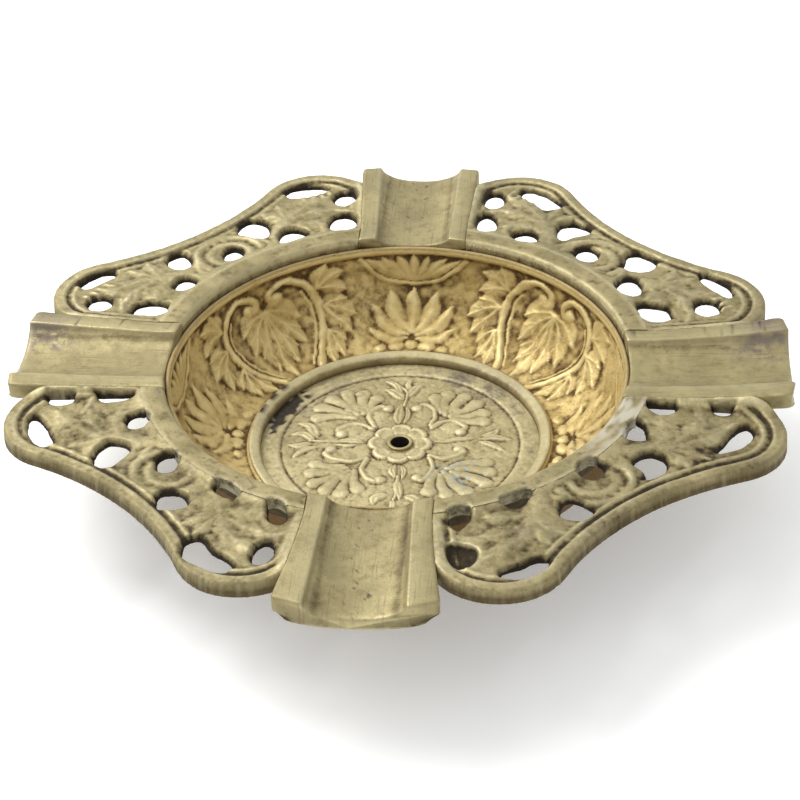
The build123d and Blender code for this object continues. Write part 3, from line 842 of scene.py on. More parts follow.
def palmette(r, u0):
    """Two scrolls that curl inwards over a lobed leaf, with smaller leaves outside them."""
    broad_leaf(r, mirrored(u0, 1), (0.2, 7.4),
               [(-6.8, 11.2), (-5.9, 16.8), (-2.2, 20.6), (1.0, 24.2), (3.6, 20.4), (6.2, 15.4),
                                                (6.6, 10.4)], 5.6, 0.62)
    for side in (-1, 1):
        at = mirrored(u0, side)
        r.cord(at([(5.8, 24.2), (8.6, 19.4), (10.8, 14.2), (11.0, 9.4), (9.4, 5.4), (6.4, 3.1), (3.6, 3.0),
                   (1.6, 4.6),
                   (2.0, 6.6), (3.6, 6.6)]), 1.9, 0.95, 1.4)
        r.cord(at([(4.8, 22.8), (7.4, 18.4), (9.3, 13.6), (9.5, 9.4), (8.2, 6.4)]), 0.7, 0.5, 0.5)
        r.bead((u0 + side * 3.3, 5.9), 1.3, 1.05)
        broad_leaf(r, at, (11.2, 6.4), [(13.4, 1.6), (16.6, 3.6), (17.0, 8.0)], 4.4, 0.6)
        broad_leaf(r, at, (11.8, 10.6), [(16.6, 9.8), (18.2, 13.6), (16.6, 17.4)], 4.8, 0.6)
        broad_leaf(r, at, (11.4, 15.8), [(14.8, 19.0), (13.2, 22.8), (9.6, 24.6)], 4.2, 0.55)


def axis_spray(r, u0):
    """A fan under the rim, a tulip below it and a row of oval beads near the floor."""
    for k in range(-3, 4):
        r.leaf([(u0 + 0.2 * k, 7.2), (u0 + 1.7 * k, 4.6), (u0 + 2.9 * k, 1.5 + 0.2 * abs(k))], 2.6, 0.6,
               -0.15)
    r.cord([(u0 - 9.8, 2.0), (u0 - 5.8, 6.4), (u0, 8.0), (u0 + 5.8, 6.4), (u0 + 9.8, 2.0)], 1.1, 0.6, 0.8)
    r.leaf([(u0, 19.0), (u0, 13.6), (u0, 9.0)], 4.2, 0.65, -0.2)
    for side in (-1, 1):
        at = mirrored(u0, side)
        r.leaf(at([(0.4, 19.0), (3.4, 15.2), (4.6, 9.6)]), 4.2, 0.62, -0.2)
        r.leaf(at([(1.0, 19.6), (5.6, 17.2), (8.0, 12.2)]), 3.6, 0.58, -0.2)
        r.leaf(at([(1.2, 20.6), (5.8, 20.4), (9.4, 17.4)]), 2.8, 0.5, -0.15)
        r.bead((u0 + side * 3.7, 22.6), 1.3, 0.6, 1.7)
        r.bead((u0 + side * 7.9, 23.0), 1.0, 0.5, 1.5)
    r.bead((u0, 22.4), 1.2, 0.65, 1.4)


def bowl_relief(u, v):
    """The whole unrolled wall. The pattern is drawn once per quarter, and again over the seam."""
    around = 4 * QUARTER
    wander = [0.3 * grain(u, v, around / 90, k, 90) + 0.14 * grain(u, v, around / 200, k + 1, 200)
              for k in (35, 37)]
    r = Relief(u + wander[0], v + wander[1])
    for quarter in range(-1, 5):
        axis_spray(r, quarter * QUARTER)
        palmette(r, (quarter + 0.5) * QUARTER)
    ground = 0.04 * grain(u, v, around / 228, 31, 228) + 0.03 * grain(u, v, around / 435, 32, 435)
    hand = 0.12 * grain(u, v, around / 60, 33, 60) + 0.09 * grain(u, v, around / 150, 34, 150)
    worn = 0.9 + 0.35 * grain(u, v, around / 48, 39, 48)
    form = (0.3 * blur(r.h, 1, around=True) + 0.46 * r.h) * worn
    return form + ground * np.clip(1 - form / 0.6, 0.3, 1) + hand


# %% Bowl mesh
BOWL_COLUMNS = 800
WALL_ROWS = 92


def bowl_arrays():
    """Closed cup. The first rows are the inside wall from the rim to the foot, and carry the relief."""
    t = np.linspace(0, np.pi / 2, WALL_ROWS)
    wall = np.stack([WALL_FOOT_R + (WALL_LIP_R - WALL_FOOT_R) * np.cos(t),
                     BOWL_RIM - 0.5 - (BOWL_RIM - 0.5 - WALL_FOOT_Z) * np.sin(t)], 1)
    rim_out = MOUTH - 0.1
    shoulder = COLLAR_UNDER
    under = shoulder - 0.8
    a = np.linspace(0, np.pi / 2 - 0.25, 12)
    outside = np.stack([WALL_FOOT_R + (rim_out + 1.5 - WALL_FOOT_R) * np.cos(a),
                        under - (under - WALL_FOOT_Z + 2.2) * np.sin(a)], 1)
    pad = RING_OUT + 1.8
    rest_of_it = np.vstack([
        [(pad, outside[-1][1])] , [(pad, BOWL_UNDER + 0.5), (pad - 0.5, BOWL_UNDER)],
        [(FOOT_OUT, BOWL_UNDER), (FOOT_OUT, FOOT_TOP), (FOOT_OUT - 3.4, FOOT_TOP),
         (FOOT_OUT - 3.4, BOWL_UNDER)],
        [(2.2, BOWL_UNDER), (2.2, FLOOR), (WALL_FOOT_R, FLOOR)],
    ])
    rim = [(rim_out, shoulder), (rim_out, BOWL_RIM - 0.3), (rim_out - 0.2, BOWL_RIM - 0.05),
           (rim_out - 0.45, BOWL_RIM), (WALL_LIP_R + 0.15, BOWL_RIM - 0.1),
           (WALL_LIP_R + 0.02, BOWL_RIM - 0.3)]
    flange = [(rim_out + 1.6, under), (rim_out + 1.7, under + 0.2), (rim_out + 1.7, shoulder)]
    profile = np.vstack([wall, rest_of_it[::-1], outside[::-1], flange, rim])
    step = np.hypot(*np.diff(wall, axis=0).T)
    down = np.concatenate([[0], np.cumsum(step)])
    down *= WALL_LENGTH / down[-1]
    angle = np.linspace(0, 2 * np.pi, BOWL_COLUMNS, endpoint=False)
    u, v = np.meshgrid(angle * WALL_MEAN_R, down, indexing="ij")
    relief = bowl_relief(u, v)
    calm = np.clip((v - 0.9) / 0.7, 0, 1) * np.clip((WALL_LENGTH - v) / 0.5, 0, 1)
    height = relief * calm - 0.35 * calm + 0.2 * np.exp(-(((v - 0.5) / 0.4) ** 2))
    grime, wear = hollows_and_ridges(height, 0.29, around=True)
    grime = np.clip(grime + 0.1 * np.clip(1 - relief / 0.45, 0, 1)
                    * (0.7 + grain(u, v, 4 * QUARTER / 60, 40, 60)), 0, 1)
    # Darker towards the south-east of the wall, and in patches all round.
    dark_south_east_and_patches = np.exp(-(((u - 3.6 * QUARTER) / 26) ** 2)) * (0.5 + 0.6 * grain(u, v, 4 * QUARTER / 40, 41, 40))
    dark_south_east_and_patches += 0.5 * np.clip(grain(u, v, 4 * QUARTER / 30, 42, 30) + 0.2, 0, 1)
    grime = np.clip(grime + 0.42 * dark_south_east_and_patches, 0, 1)
    tangent = np.gradient(wall, axis=0)
    normal = np.stack([tangent[:, 1], -tangent[:, 0]], 1)
    normal /= np.hypot(*normal.T)[:, None]
    verts, faces = turned_mesh(profile, BOWL_COLUMNS)
    grid = verts.reshape(BOWL_COLUMNS, len(profile), 3)
    a = angle[:, None]
    grid[:, :WALL_ROWS, 0] += height * normal[None, :, 0] * np.cos(a)
    grid[:, :WALL_ROWS, 1] += height * normal[None, :, 0] * np.sin(a)
    grid[:, :WALL_ROWS, 2] += height * normal[None, :, 1]
    n = len(profile)
    values = {"grime": np.full((BOWL_COLUMNS, n), 0.3), "wear": np.zeros((BOWL_COLUMNS, n)),
              "wall": np.ones((BOWL_COLUMNS, n)), "ground": np.zeros((BOWL_COLUMNS, n))}
    values["grime"][:, :WALL_ROWS], values["wear"][:, :WALL_ROWS] = grime, wear
    # The outside and the underside of the cup are wall, and get painted shade; the inside wall and the rim
    # do not.
    values["wall"][:, :WALL_ROWS] = 0
    values["wall"][:, -len(rim):] = 0
    values["wear"][:, -len(rim) + 3:] = 0.5
    values["grime"][:, -len(rim):] = 0.75
    east = np.exp(-((np.minimum(u, 4 * QUARTER - u) / 16) ** 2))
    open_ground = np.clip(1 - relief / 0.5, 0.15, 1) * ((v > 2) & (v < 23))
    values["ground"][:, :WALL_ROWS] = open_ground * (0.12 + 0.88 * east)
    return grid.reshape(-1, 3), faces, values


pieces["bowl"] = make_piece("bowl_cast", *bowl_arrays(), 60)

# %% [markdown]
# ## Grain on the bowl's ground
# The sand of the mould left rough grains on the wall, most of them towards one side. Thousands of tiny
# bosses are a job for Geometry Nodes: points are scattered on the wall by a density stored on the mesh, and
# one flattened grain is set on each. The tree has named inputs, so the grains can be made larger or fewer.


# %% Grain scatter
def grain_tree():
    """A node tree that sets a grain on each of many points scattered over a mesh."""
    tree = bpy.data.node_groups.new("casting_grain", "GeometryNodeTree")
    tree.interface.new_socket("Geometry", in_out="INPUT", socket_type="NodeSocketGeometry")
    for label, kind in (("Density", "NodeSocketFloat"), ("Grain Size", "NodeSocketFloat"),
                        ("Seed", "NodeSocketInt"),
                        ("Finish", "NodeSocketMaterial")):
        tree.interface.new_socket(label, in_out="INPUT", socket_type=kind)
    tree.interface.new_socket("Geometry", in_out="OUTPUT", socket_type="NodeSocketGeometry")
    given = tree.nodes.new("NodeGroupInput").outputs
    density = add(tree, "GeometryNodeInputNamedAttribute", {"Name": "ground"},
                  data_type="FLOAT").outputs["Attribute"]
    density = add(tree, "ShaderNodeMath", {0: density, 1: given["Density"]}, operation="MULTIPLY").outputs[0]
    points = add(tree, "GeometryNodeDistributePointsOnFaces",
                 {"Mesh": given["Geometry"], "Density": density, "Seed": given["Seed"]})
    lump = add(tree, "GeometryNodeMeshIcoSphere", {"Radius": given["Grain Size"], "Subdivisions": 1})
    size = add(tree, "FunctionNodeRandomValue",
               {"Min": (0.5, 0.5, 0.3), "Max": (1.3, 1.1, 0.6), "Seed": given["Seed"]},
               data_type="FLOAT_VECTOR")
    placed = add(tree, "GeometryNodeInstanceOnPoints",
                 {"Points": points.outputs["Points"], "Instance": lump.outputs["Mesh"],
                  "Rotation": points.outputs["Rotation"], "Scale": size.outputs["Value"]})
    real = add(tree, "GeometryNodeRealizeInstances", {"Geometry": placed.outputs[0]})
    done = add(tree, "GeometryNodeSetMaterial", {"Geometry": real.outputs[0], "Material": given["Finish"]})
    out = tree.nodes.new("NodeGroupOutput")
    tree.links.new(done.outputs[0], out.inputs[0])
    return tree


def scatter_grains(name, wall, finish, density, grain_size, seed):
    """Runs the tree on a copy of the wall and returns the grains as a plain mesh object."""
    carrier = bpy.data.objects.new("grain_carrier", wall.data)
    bpy.context.scene.collection.objects.link(carrier)
    modifier = carrier.modifiers.new("grain", "NODES")
    modifier.node_group = grain_tree()
    wanted = {"Density": density, "Grain Size": grain_size, "Seed": seed, "Finish": finish}
    for item in modifier.node_group.interface.items_tree:
        if item.in_out == "INPUT" and item.name in wanted:
            modifier[item.identifier] = wanted[item.name]
    bpy.context.view_layer.update()
    mesh = bpy.data.meshes.new_from_object(carrier.evaluated_get(bpy.context.evaluated_depsgraph_get()))
    carrier.modifiers.clear()
    bpy.data.objects.remove(carrier)
    mesh.name = name
    mesh.shade_smooth()
    obj = bpy.data.objects.new(name, mesh)
    bpy.context.scene.collection.objects.link(obj)
    print(f"{name}: {len(mesh.polygons)} triangles")
    return obj


# %% [markdown]
# ## The floor medallion
# A thin disc with an eight-petalled flower round the stick socket. C-shaped scrolls spring from it in pairs
# towards the diagonals, each pair with a shell of leaflets behind it, and long sprigs reach out along the
# axes. The disc is gridded in rings and spokes, so the flower and the outer edge stay perfectly round.

# %% Medallion relief
def club(r, points, width, height):
    """A stroke that swells to a round end."""
    r.cord(points, width * 0.5, height, width)
    r.bead(points[-1], width * 0.56, height + 0.03)


SCROLLS = (
    [(5.7, 6.3), (6.5, 9.3), (6.0, 12.4), (3.9, 13.5), (2.6, 12.2)],
    [(6.0, 5.6), (8.0, 7.6), (10.7, 8.0), (13.0, 6.2), (12.2, 4.5)],
    [(-5.6, 5.6), (-7.0, 8.4), (-6.8, 11.0), (-4.9, 12.7), (-3.5, 11.9)],
    [(-6.1, 4.7), (-8.4, 6.3), (-11.1, 6.1), (-12.8, 4.3), (-12.1, 2.8)],
    [(-6.5, -5.3), (-9.3, -6.5), (-12.9, -5.6), (-14.8, -3.9), (-13.9, -2.8)],
    [(-6.3, -5.7), (-7.1, -8.6), (-6.1, -11.2), (-4.2, -12.7), (-2.9, -12.3)],
    [(6.2, -3.9), (8.5, -4.8), (11.2, -4.2), (12.9, -2.6), (12.1, -1.6)],
    [(6.2, -4.8), (7.2, -7.5), (6.7, -10.6), (5.2, -12.2), (4.4, -11.3)],
)
SHELLS = (
    ((8.6, 8.8), [(6.4, 16.2), (8.8, 17.4), (12.2, 16.6), (14.8, 14.4), (16.4, 11.4), (16.6, 8.4)]),
    ((-8.0, 8.6), [(-6.0, 15.6), (-9.0, 17.2), (-12.4, 17.2), (-15.6, 15.0), (-17.4, 11.8), (-17.8, 8.4)]),
    ((-8.6, -8.4), [(-16.4, -7.6), (-17.0, -10.4), (-16.2, -13.6), (-13.6, -15.8), (-10.4, -16.6),
                    (-7.4, -15.2)]),
    ((8.4, -7.8), [(17.6, -5.8), (18.4, -8.8), (17.8, -12.4), (14.2, -15.4), (10.4, -16.4), (6.8, -15.6)]),
)


def sprigs(r):
    """The four sprigs along the axes. Each is different, as if cut freehand."""
    for path, width in (
        ([(-0.6, 7.0), (-1.1, 10.4), (-0.5, 13.8)], 2.3), ([(0.5, 7.2), (0.9, 10.0), (0.6, 13.0)], 1.3),
        ([(-0.4, 15.6), (-2.6, 18.0), (-4.4, 19.2)], 2.4), ([(0.4, 16.4), (1.6, 19.2), (3.4, 21.0)], 2.2),
        ([(-1.0, 17.4), (-2.4, 20.6), (-5.2, 22.4)], 1.6), ([(0.2, 19.0), (0.2, 21.2), (0.8, 23.2)], 1.5),
        ([(-7.4, 0.2), (-10.2, 0.7), (-13.4, 0.2)], 1.9),
        ([(-8.6, -0.8), (-11.0, -1.2), (-13.2, -0.6)], 1.1),
        ([(-17.6, 0.6), (-19.8, 2.6), (-22.6, 2.6)], 2.0), ([(-17.2, 1.8), (-19.0, 5.4), (-21.6, 6.4)], 2.4),
        ([(-18.0, -0.4), (-20.6, -1.6), (-23.0, -1.2)], 1.8),
        ([(-16.6, -1.6), (-19.4, -3.0), (-21.4, -5.6)], 1.8),
        ([(7.2, 0.9), (11.6, 1.7), (16.2, 2.7)], 1.5), ([(16.6, 3.2), (18.8, 4.0), (20.0, 6.0)], 1.9),
        ([(16.4, 2.2), (19.4, 2.8), (22.8, 2.0)], 2.0), ([(16.2, 1.4), (18.6, 0.2), (21.6, -2.0)], 1.5),
        ([(-0.4, -7.2), (-0.8, -9.4), (-0.2, -11.6)], 1.7), ([(0.8, -7.4), (1.5, -9.4), (1.1, -11.8)], 1.3),
        ([(0.4, -12.4), (0.8, -15.2), (1.4, -18.4)], 2.0),
        ([(-1.2, -17.0), (-3.2, -17.8), (-4.0, -20.0)], 2.4),
        ([(2.4, -17.4), (4.4, -18.0), (5.8, -20.2)], 2.2),
        ([(0.2, -18.6), (0.2, -20.6), (-0.4, -22.8)], 1.5),
    ):
        r.leaf(path, width, 0.55, 0.35)
    r.cord([(0, 13.2), (0.3, 16.0), (-0.4, 19.0), (-3.6, 22.0)], 0.7, 0.45, 0.5)
    r.cord([(-12.6, 0.2), (-15.6, 0.3), (-18.4, 0.4)], 0.8, 0.45, 0.6)
    r.cord([(0.3, -11.0), (0.5, -14.2), (0.2, -18.4)], 0.8, 0.45, 0.6)


def medallion_relief(x, y):
    r = Relief(x + 0.22 * grain(x, y, 2.0, 57), y + 0.22 * grain(x, y, 2.0, 58))
    sprigs(r)
    for path in SCROLLS:
        path = np.array(path)
        middle = path.mean(0) + (path[-1] - path[0]) * 0.1
        r.bead(middle, 2.4, 0.3, 1.15, math.degrees(math.atan2(*(path[2] - path[0])[::-1])))
        r.cord(path, 1.15, 0.62, 1.5)
        r.bead(path[-1], 1.25, 0.8)
    for foot, tips in SHELLS:
        foot = np.array(foot)
        for k, tip in enumerate(tips):
            start = foot + (np.array(tip) - foot) * (0.18 if k % 2 else 0.3)
            bow = np.array([start[1] - tip[1], tip[0] - start[0]]) * 0.07 * (1 if k < 3 else -1)
            club(r, [start, (start + tip) / 2 + bow, np.array(tip)], 2.9, 0.5)
        for k in range(3):
            inner = foot + (np.array(tips[1 + k]) - foot) * 0.42
            r.bead(inner, 1.4, 0.56)
    d = np.hypot(x, y)
    a = np.arctan2(y, x)
    scallop = 5.6 + 1.0 * np.abs(np.cos(4 * a)) ** 0.6
    band = np.clip(1 - ((scallop - 0.75 - d) / 0.75) ** 2, 0, 1) ** 0.5
    flower = np.maximum(0.62 * band, 0.32 * (d < scallop - 0.6) * np.clip((d - 2.9) / 0.6, 0, 1))
    flower -= 0.16 * np.exp(-((np.abs(np.cos(4 * a)) * d / 1.1) ** 2)) * (d < scallop)
    r.raise_to(d < scallop + 0.1, flower[d < scallop + 0.1])
    step = 0.22 * np.clip((d - 24.0) / 0.6, 0, 1) - 0.2 * np.exp(-(((d - 24.3) / 0.35) ** 2))
    ground = 0.06 * grain(x, y, 0.85, 51) + 0.04 * grain(x, y, 0.45, 52) + 0.05 * grain(x, y, 4.0, 53)
    form = 0.75 * r.h * np.clip((24.6 - d) / 0.8, 0, 1)
    return form + step + ground * np.clip(1 - form / 0.8, 0.4, 1)


# %% Medallion mesh
MEDALLION_COLUMNS = 620
MEDALLION_ROWS = 112


def medallion_arrays():
    """Disc with a relief face, a plain back and a round hole for the rivet."""
    radii = np.linspace(SOCKET_HIGH[0] - 0.9, RING_BORE + 0.05, MEDALLION_ROWS)
    profile = np.vstack([np.stack([radii, np.full(MEDALLION_ROWS, MEDALLION_TOP)], 1),
                         [(MEDALLION_OUT, MEDALLION_TOP - 0.1), (MEDALLION_OUT, FLOOR), (radii[0], FLOOR)]])
    verts, faces = turned_mesh(profile, MEDALLION_COLUMNS)
    n = len(profile)
    grid = verts.reshape(MEDALLION_COLUMNS, n, 3)
    x, y = grid[:, :MEDALLION_ROWS, 0], grid[:, :MEDALLION_ROWS, 1]
    height = medallion_relief(x, y)
    flat = np.hypot(x, y)
    height *= np.clip((flat - 2.6) / 0.5, 0, 1)
    grime, wear = hollows_and_ridges(height, 0.24, around=True)
    grid[:, :MEDALLION_ROWS, 2] += height - 0.1
    angle = np.degrees(np.arctan2(y, x))
    ring = np.exp(-(((flat - 25.5) / 3.0) ** 2))
    bloom = ring * (np.exp(-(((angle - 50) / 24) ** 2)) + 0.8 * np.exp(-(((angle - 150) / 28) ** 2)))
    bloom = np.clip(1.5 * bloom * (0.55 + 0.8 * grain(x, y, 2.6, 54)), 0, 1)
    tar = np.clip(4 - np.hypot((angle - 157) / 4.2, (flat - 26.9) / 0.55) + 1.6 * grain(x, y, 0.9, 55), 0, 1)
    blue = np.clip(1.3 - np.hypot(x - 11.5, y + 10.5) / 5.5, 0, 1) * np.clip(4 * grain(x, y, 0.8, 56) - 0.9,
                                                                             0, 1)
    full = {"grime": grime, "wear": wear, "wall": np.zeros_like(grime), "bloom": bloom, "tar": tar,
            "blue": blue}
    values = {}
    for key, value in full.items():
        # The edge and the back are half wall, for painted shade, and hold some grime.
        whole = np.ones((MEDALLION_COLUMNS, n)) * (0.5 if key in ("grime", "wall") else 0)
        whole[:, :MEDALLION_ROWS] = value
        values[key] = whole
    return grid.reshape(-1, 3), faces, values


pieces["floor_medallion"] = make_piece("floor_medallion_cast", *medallion_arrays(), 60)

# %% [markdown]
# ## Turned rings, rivet and washer
# The floor ring, the foot, the rivet and the washer come off a lathe. Each is one section turned about the
# axis, with its corners rounded by the radius of the tool and by wear; the floor ring is also very slightly
# out of true.

# %% Turned pieces


def turned_piece(name, corners, radii, columns, wobble=0.0, seed=60, tarnish=0.2, tar_at=None):
    """A closed section with rounded corners, turned about Z."""
    profile = rounded(corners, radii)

    def shift(a, k):
        lump = grain(a * profile[k, 0], profile[k, 1], 3.0, seed)
        return wobble * lump, wobble * grain(a * profile[k, 0], profile[k, 1] + 9, 3.0, seed + 1)

    verts, faces = turned_mesh(profile, columns, shift)
    n = len(profile)
    height = np.tile(profile[:, 1], columns)
    top = height.max()
    wear = np.clip(1 - (top - height) / 0.5, 0, 1) * 0.6
    # Points more than 2.2 mm below the top count as wall, and get painted shade towards the bottom.
    values = {"grime": np.full(n * columns, tarnish), "wear": wear,
              "wall": (height < top - 2.2).astype(float)}
    x, y = verts[:, 0], verts[:, 1]
    values["bloom"] = np.clip(0.8 * grain(x, y, 5.0, seed + 2) - 0.1, 0, 1)
    angle, radius = np.degrees(np.arctan2(y, x)), np.hypot(x, y)
    # The socket's bore is blackened: painted shade inside the deep, narrow hole, over the soot there.
    values["tar"] = ((radius < SOCKET_BORE + 0.1) & (height < top - 0.12)).astype(float)
    if tar_at is not None:
        near = np.clip(1.5 - np.abs(angle - tar_at) / 11, 0, 1) * (radius > radius.max() - 0.8)
        values["tar"] = np.clip(near * (0.5 + 1.6 * grain(angle * 0.53, height, 1.3, seed + 3)), 0, 1)
    return make_piece(name, verts, faces, values, 40)


pieces["floor_ring"] = turned_piece(
    "floor_ring_turned",
    [(MEDALLION_OUT, FLOOR), (RING_OUT, FLOOR), (RING_OUT, RING_TOP), (RING_BORE, RING_TOP - 0.5),
     (RING_BORE, MEDALLION_TOP), (MEDALLION_OUT, MEDALLION_TOP)],
    [0, 0, 0.7, 0.6, 0, 0], 420, 0.05, tar_at=157)
pieces["foot_ring"] = turned_piece(
    "foot_ring_turned",
    [(FOOT_OUT - 3.4, 0), (FOOT_OUT, 0), (FOOT_OUT, FOOT_TOP), (FOOT_OUT - 3.4, FOOT_TOP)],
    [1.1, 1.1, 0, 0], 360, 0.0, 62)
SOCKET_TOP = SOCKET_HIGH[2]
SOCKET_TUBE = SOCKET_BORE + 0.35
pieces["stick_socket"] = turned_piece(
    "stick_socket_turned",
    [(SOCKET_BORE, SOCKET_LOW[2]), (SOCKET_HIGH[0], SOCKET_LOW[2]), (SOCKET_HIGH[0], WASHER_LOW[2]),
     (SOCKET_TUBE, WASHER_LOW[2]), (SOCKET_TUBE, MEDALLION_TOP), (SOCKET_TUBE + 0.35, MEDALLION_TOP),
     (SOCKET_TUBE + 0.35, SOCKET_TOP), (SOCKET_BORE, SOCKET_TOP)],
    [0.3, 0.5, 0.3, 0, 0, 0.1, 0.4, 0.4], 96, 0, 64)
pieces["socket_washer"] = turned_piece(
    "socket_washer_turned",
    [(SOCKET_TUBE, WASHER_LOW[2]), (WASHER_HIGH[0], WASHER_LOW[2]), (WASHER_HIGH[0], WASHER_HIGH[2]),
     (SOCKET_TUBE, WASHER_HIGH[2])],
    [0.1, 0.3, 0.2, 0.1], 120, 0, 66)

# %% [markdown]
# ## Aged brass
# All of it is brass, about 60% copper and 40% zinc, but each part has aged in its own way. Clean brass is a
# yellow metal; handling keeps it bright on the ridges, air turns the flats to a dull straw colour, and wax,
# smoke and polish leave olive-brown to black in the hollows. One function builds the finish, and each piece
# says how warm it is and how strongly the hollows are stained.


# %% Node helpers
def linear(hex_code):
    """sRGB hex to linear RGBA."""
    channels = [int(hex_code[k : k + 2], 16) / 255 for k in (1, 3, 5)]
    return [c / 12.92 if c <= 0.04045 else ((c + 0.055) / 1.055) ** 2.4 for c in channels] + [1.0]


# Nodes that repeat: type, settings, the inputs that are given, and the output that is used.
USUAL = {
    "mix": ("ShaderNodeMix", {"data_type": "RGBA"}, (0, 6, 7), 2),
    "move": ("ShaderNodeMapping", {}, ("Vector", "Location"), 0),
    "noise": ("ShaderNodeTexNoise", {}, ("Vector", "Scale", "Detail", "Roughness"), "Fac"),
    "window": ("ShaderNodeMapRange", {"interpolation_type": "SMOOTHSTEP"}, ("Value", "From Min", "From Max"),
               "Result"),
    "times": ("ShaderNodeMath", {"operation": "MULTIPLY", "use_clamp": True}, (0, 1), 0),
    "plus": ("ShaderNodeMath", {"operation": "ADD", "use_clamp": True}, (0, 1), 0),
    "minus": ("ShaderNodeMath", {"operation": "SUBTRACT", "use_clamp": True}, (0, 1), 0),
    "sum": ("ShaderNodeMath", {"operation": "ADD"}, (0, 1), 0),
}


def add(tree, kind, inputs=None, **settings):
    """Adds a node with its settings, and gives each input a value or another node's output."""
    kind, usual, sockets, result = USUAL.get(kind, (kind, {}, (), None))
    node = tree.nodes.new(kind)
    for key, value in {**usual, **settings}.items():
        setattr(node, key, value)
    for key, value in (dict(zip(sockets, inputs)) if sockets else inputs or {}).items():
        if isinstance(value, bpy.types.NodeSocket):
            tree.links.new(value, node.inputs[key])
        else:
            node.inputs[key].default_value = value
    return node if result is None else node.outputs[result]


def at_points(tree, keys):
    """The values stored on the mesh, by name."""
    return {key: add(tree, "ShaderNodeAttribute", attribute_name=key).outputs["Fac"] for key in keys}


# %% What the finish is made of
POINT_VALUES = ("grime", "wear", "wall", "bore", "bloom", "pale", "blue", "tar")
# Each noise: size of its lumps in mm, detail, roughness, and an offset so that no two are alike.
NOISES = {
    "cloud": (9.0, 4.0, 0.6, 0.0),
    "mottle": (2.2, 4.0, 0.65, 0.31),
    "speck": (0.5, 2.0, 0.6, 0.57),
    "blotch": (5.0, 3.0, 0.7, 0.83),
    "skin": (0.45, 3.0, 0.7, 3.1),
    "swell": (1.6, 3.0, 0.6, 4.2),
}
# Sums of the values above. A row is the result's name, what is done, and what it is done to.
STEPS = (
    ("broad", "window", "cloud", 0.36, 0.66),
    ("fine", "window", "mottle", 0.45, 0.72),
    ("fine", "times", "fine", 0.6),
    # Purple-grey tarnish in blotches, as sulphur in the air leaves on brass that isn't handled.
    ("patch", "window", "blotch", 0.6, 0.74),
    ("patch", "times", "patch", "tarnish"),
    ("smoke", "window", "mottle", 0.3, 0.55),
    ("smoke", "times", "bloom", "smoke"),
    ("patch", "plus", "patch", "smoke"),
    ("patch", "times", "patch", 0.72),
    # Grime: wax and old polish in the hollows and small dark specks everywhere, together with the painted
    # shade that some pieces add to the grime.
    ("wax", "plus", "mottle", 0.35),
    ("wax", "times", "grime", "wax"),
    ("flecks", "window", "speck", 0.58, 0.74),
    ("flecks", "times", "flecks", 0.3),
    ("dirty", "plus", "wax", "flecks"),
    ("dirty", "times", "dirty", "grime_share"),
    ("stained", "window", "dirty", 0.04, 0.8),
    # Walls: painted shade, brown on outer walls and undersides, nearly black inside a hole.
    ("outside", "times", "wall", 1.2),
    ("bored", "plus", "bore", 0.25),
    ("bored", "times", "wall", "bored"),
    ("shade", "plus", "mottle", 0.25),
    ("shade", "times", "bored", "shade"),
    ("darkest", "plus", "dirty", "shade"),
    ("darkest", "window", "darkest", 0.5, 1.0),
    # Ridges that a cloth reaches are paler, and less rough.
    ("shine", "window", "mottle", 0.25, 0.6),
    ("shine", "times", "wear", "shine"),
    ("rubbed", "times", "shine", 0.6),
    # A painted highlight: the pale band of glare on the collar.
    ("scraped", "times", "pale", 0.75),
    ("verdigris", "times", "blue", 0.6),
    # Tar stains, and the painted shade inside the socket's bore.
    ("tarred", "times", "tar", 0.92),
    ("dull", "plus", "dirty", "mottle"),
    ("dull", "minus", "dull", "shine"),
)
TARNISH_GREY, PAINTED_GLARE_PALE, VERDIGRIS_BLUE, TAR_AND_BORE_SHADE_BLACK = "#615657", "#C9C3B2", "#93A9B4", "#1C1416"
METAL_SHOWING = 0.6     # thick tarnish hides part of the metal
STREAK_SCALE = (0.09, 2.6, 1)   # long along the trough, fine across it


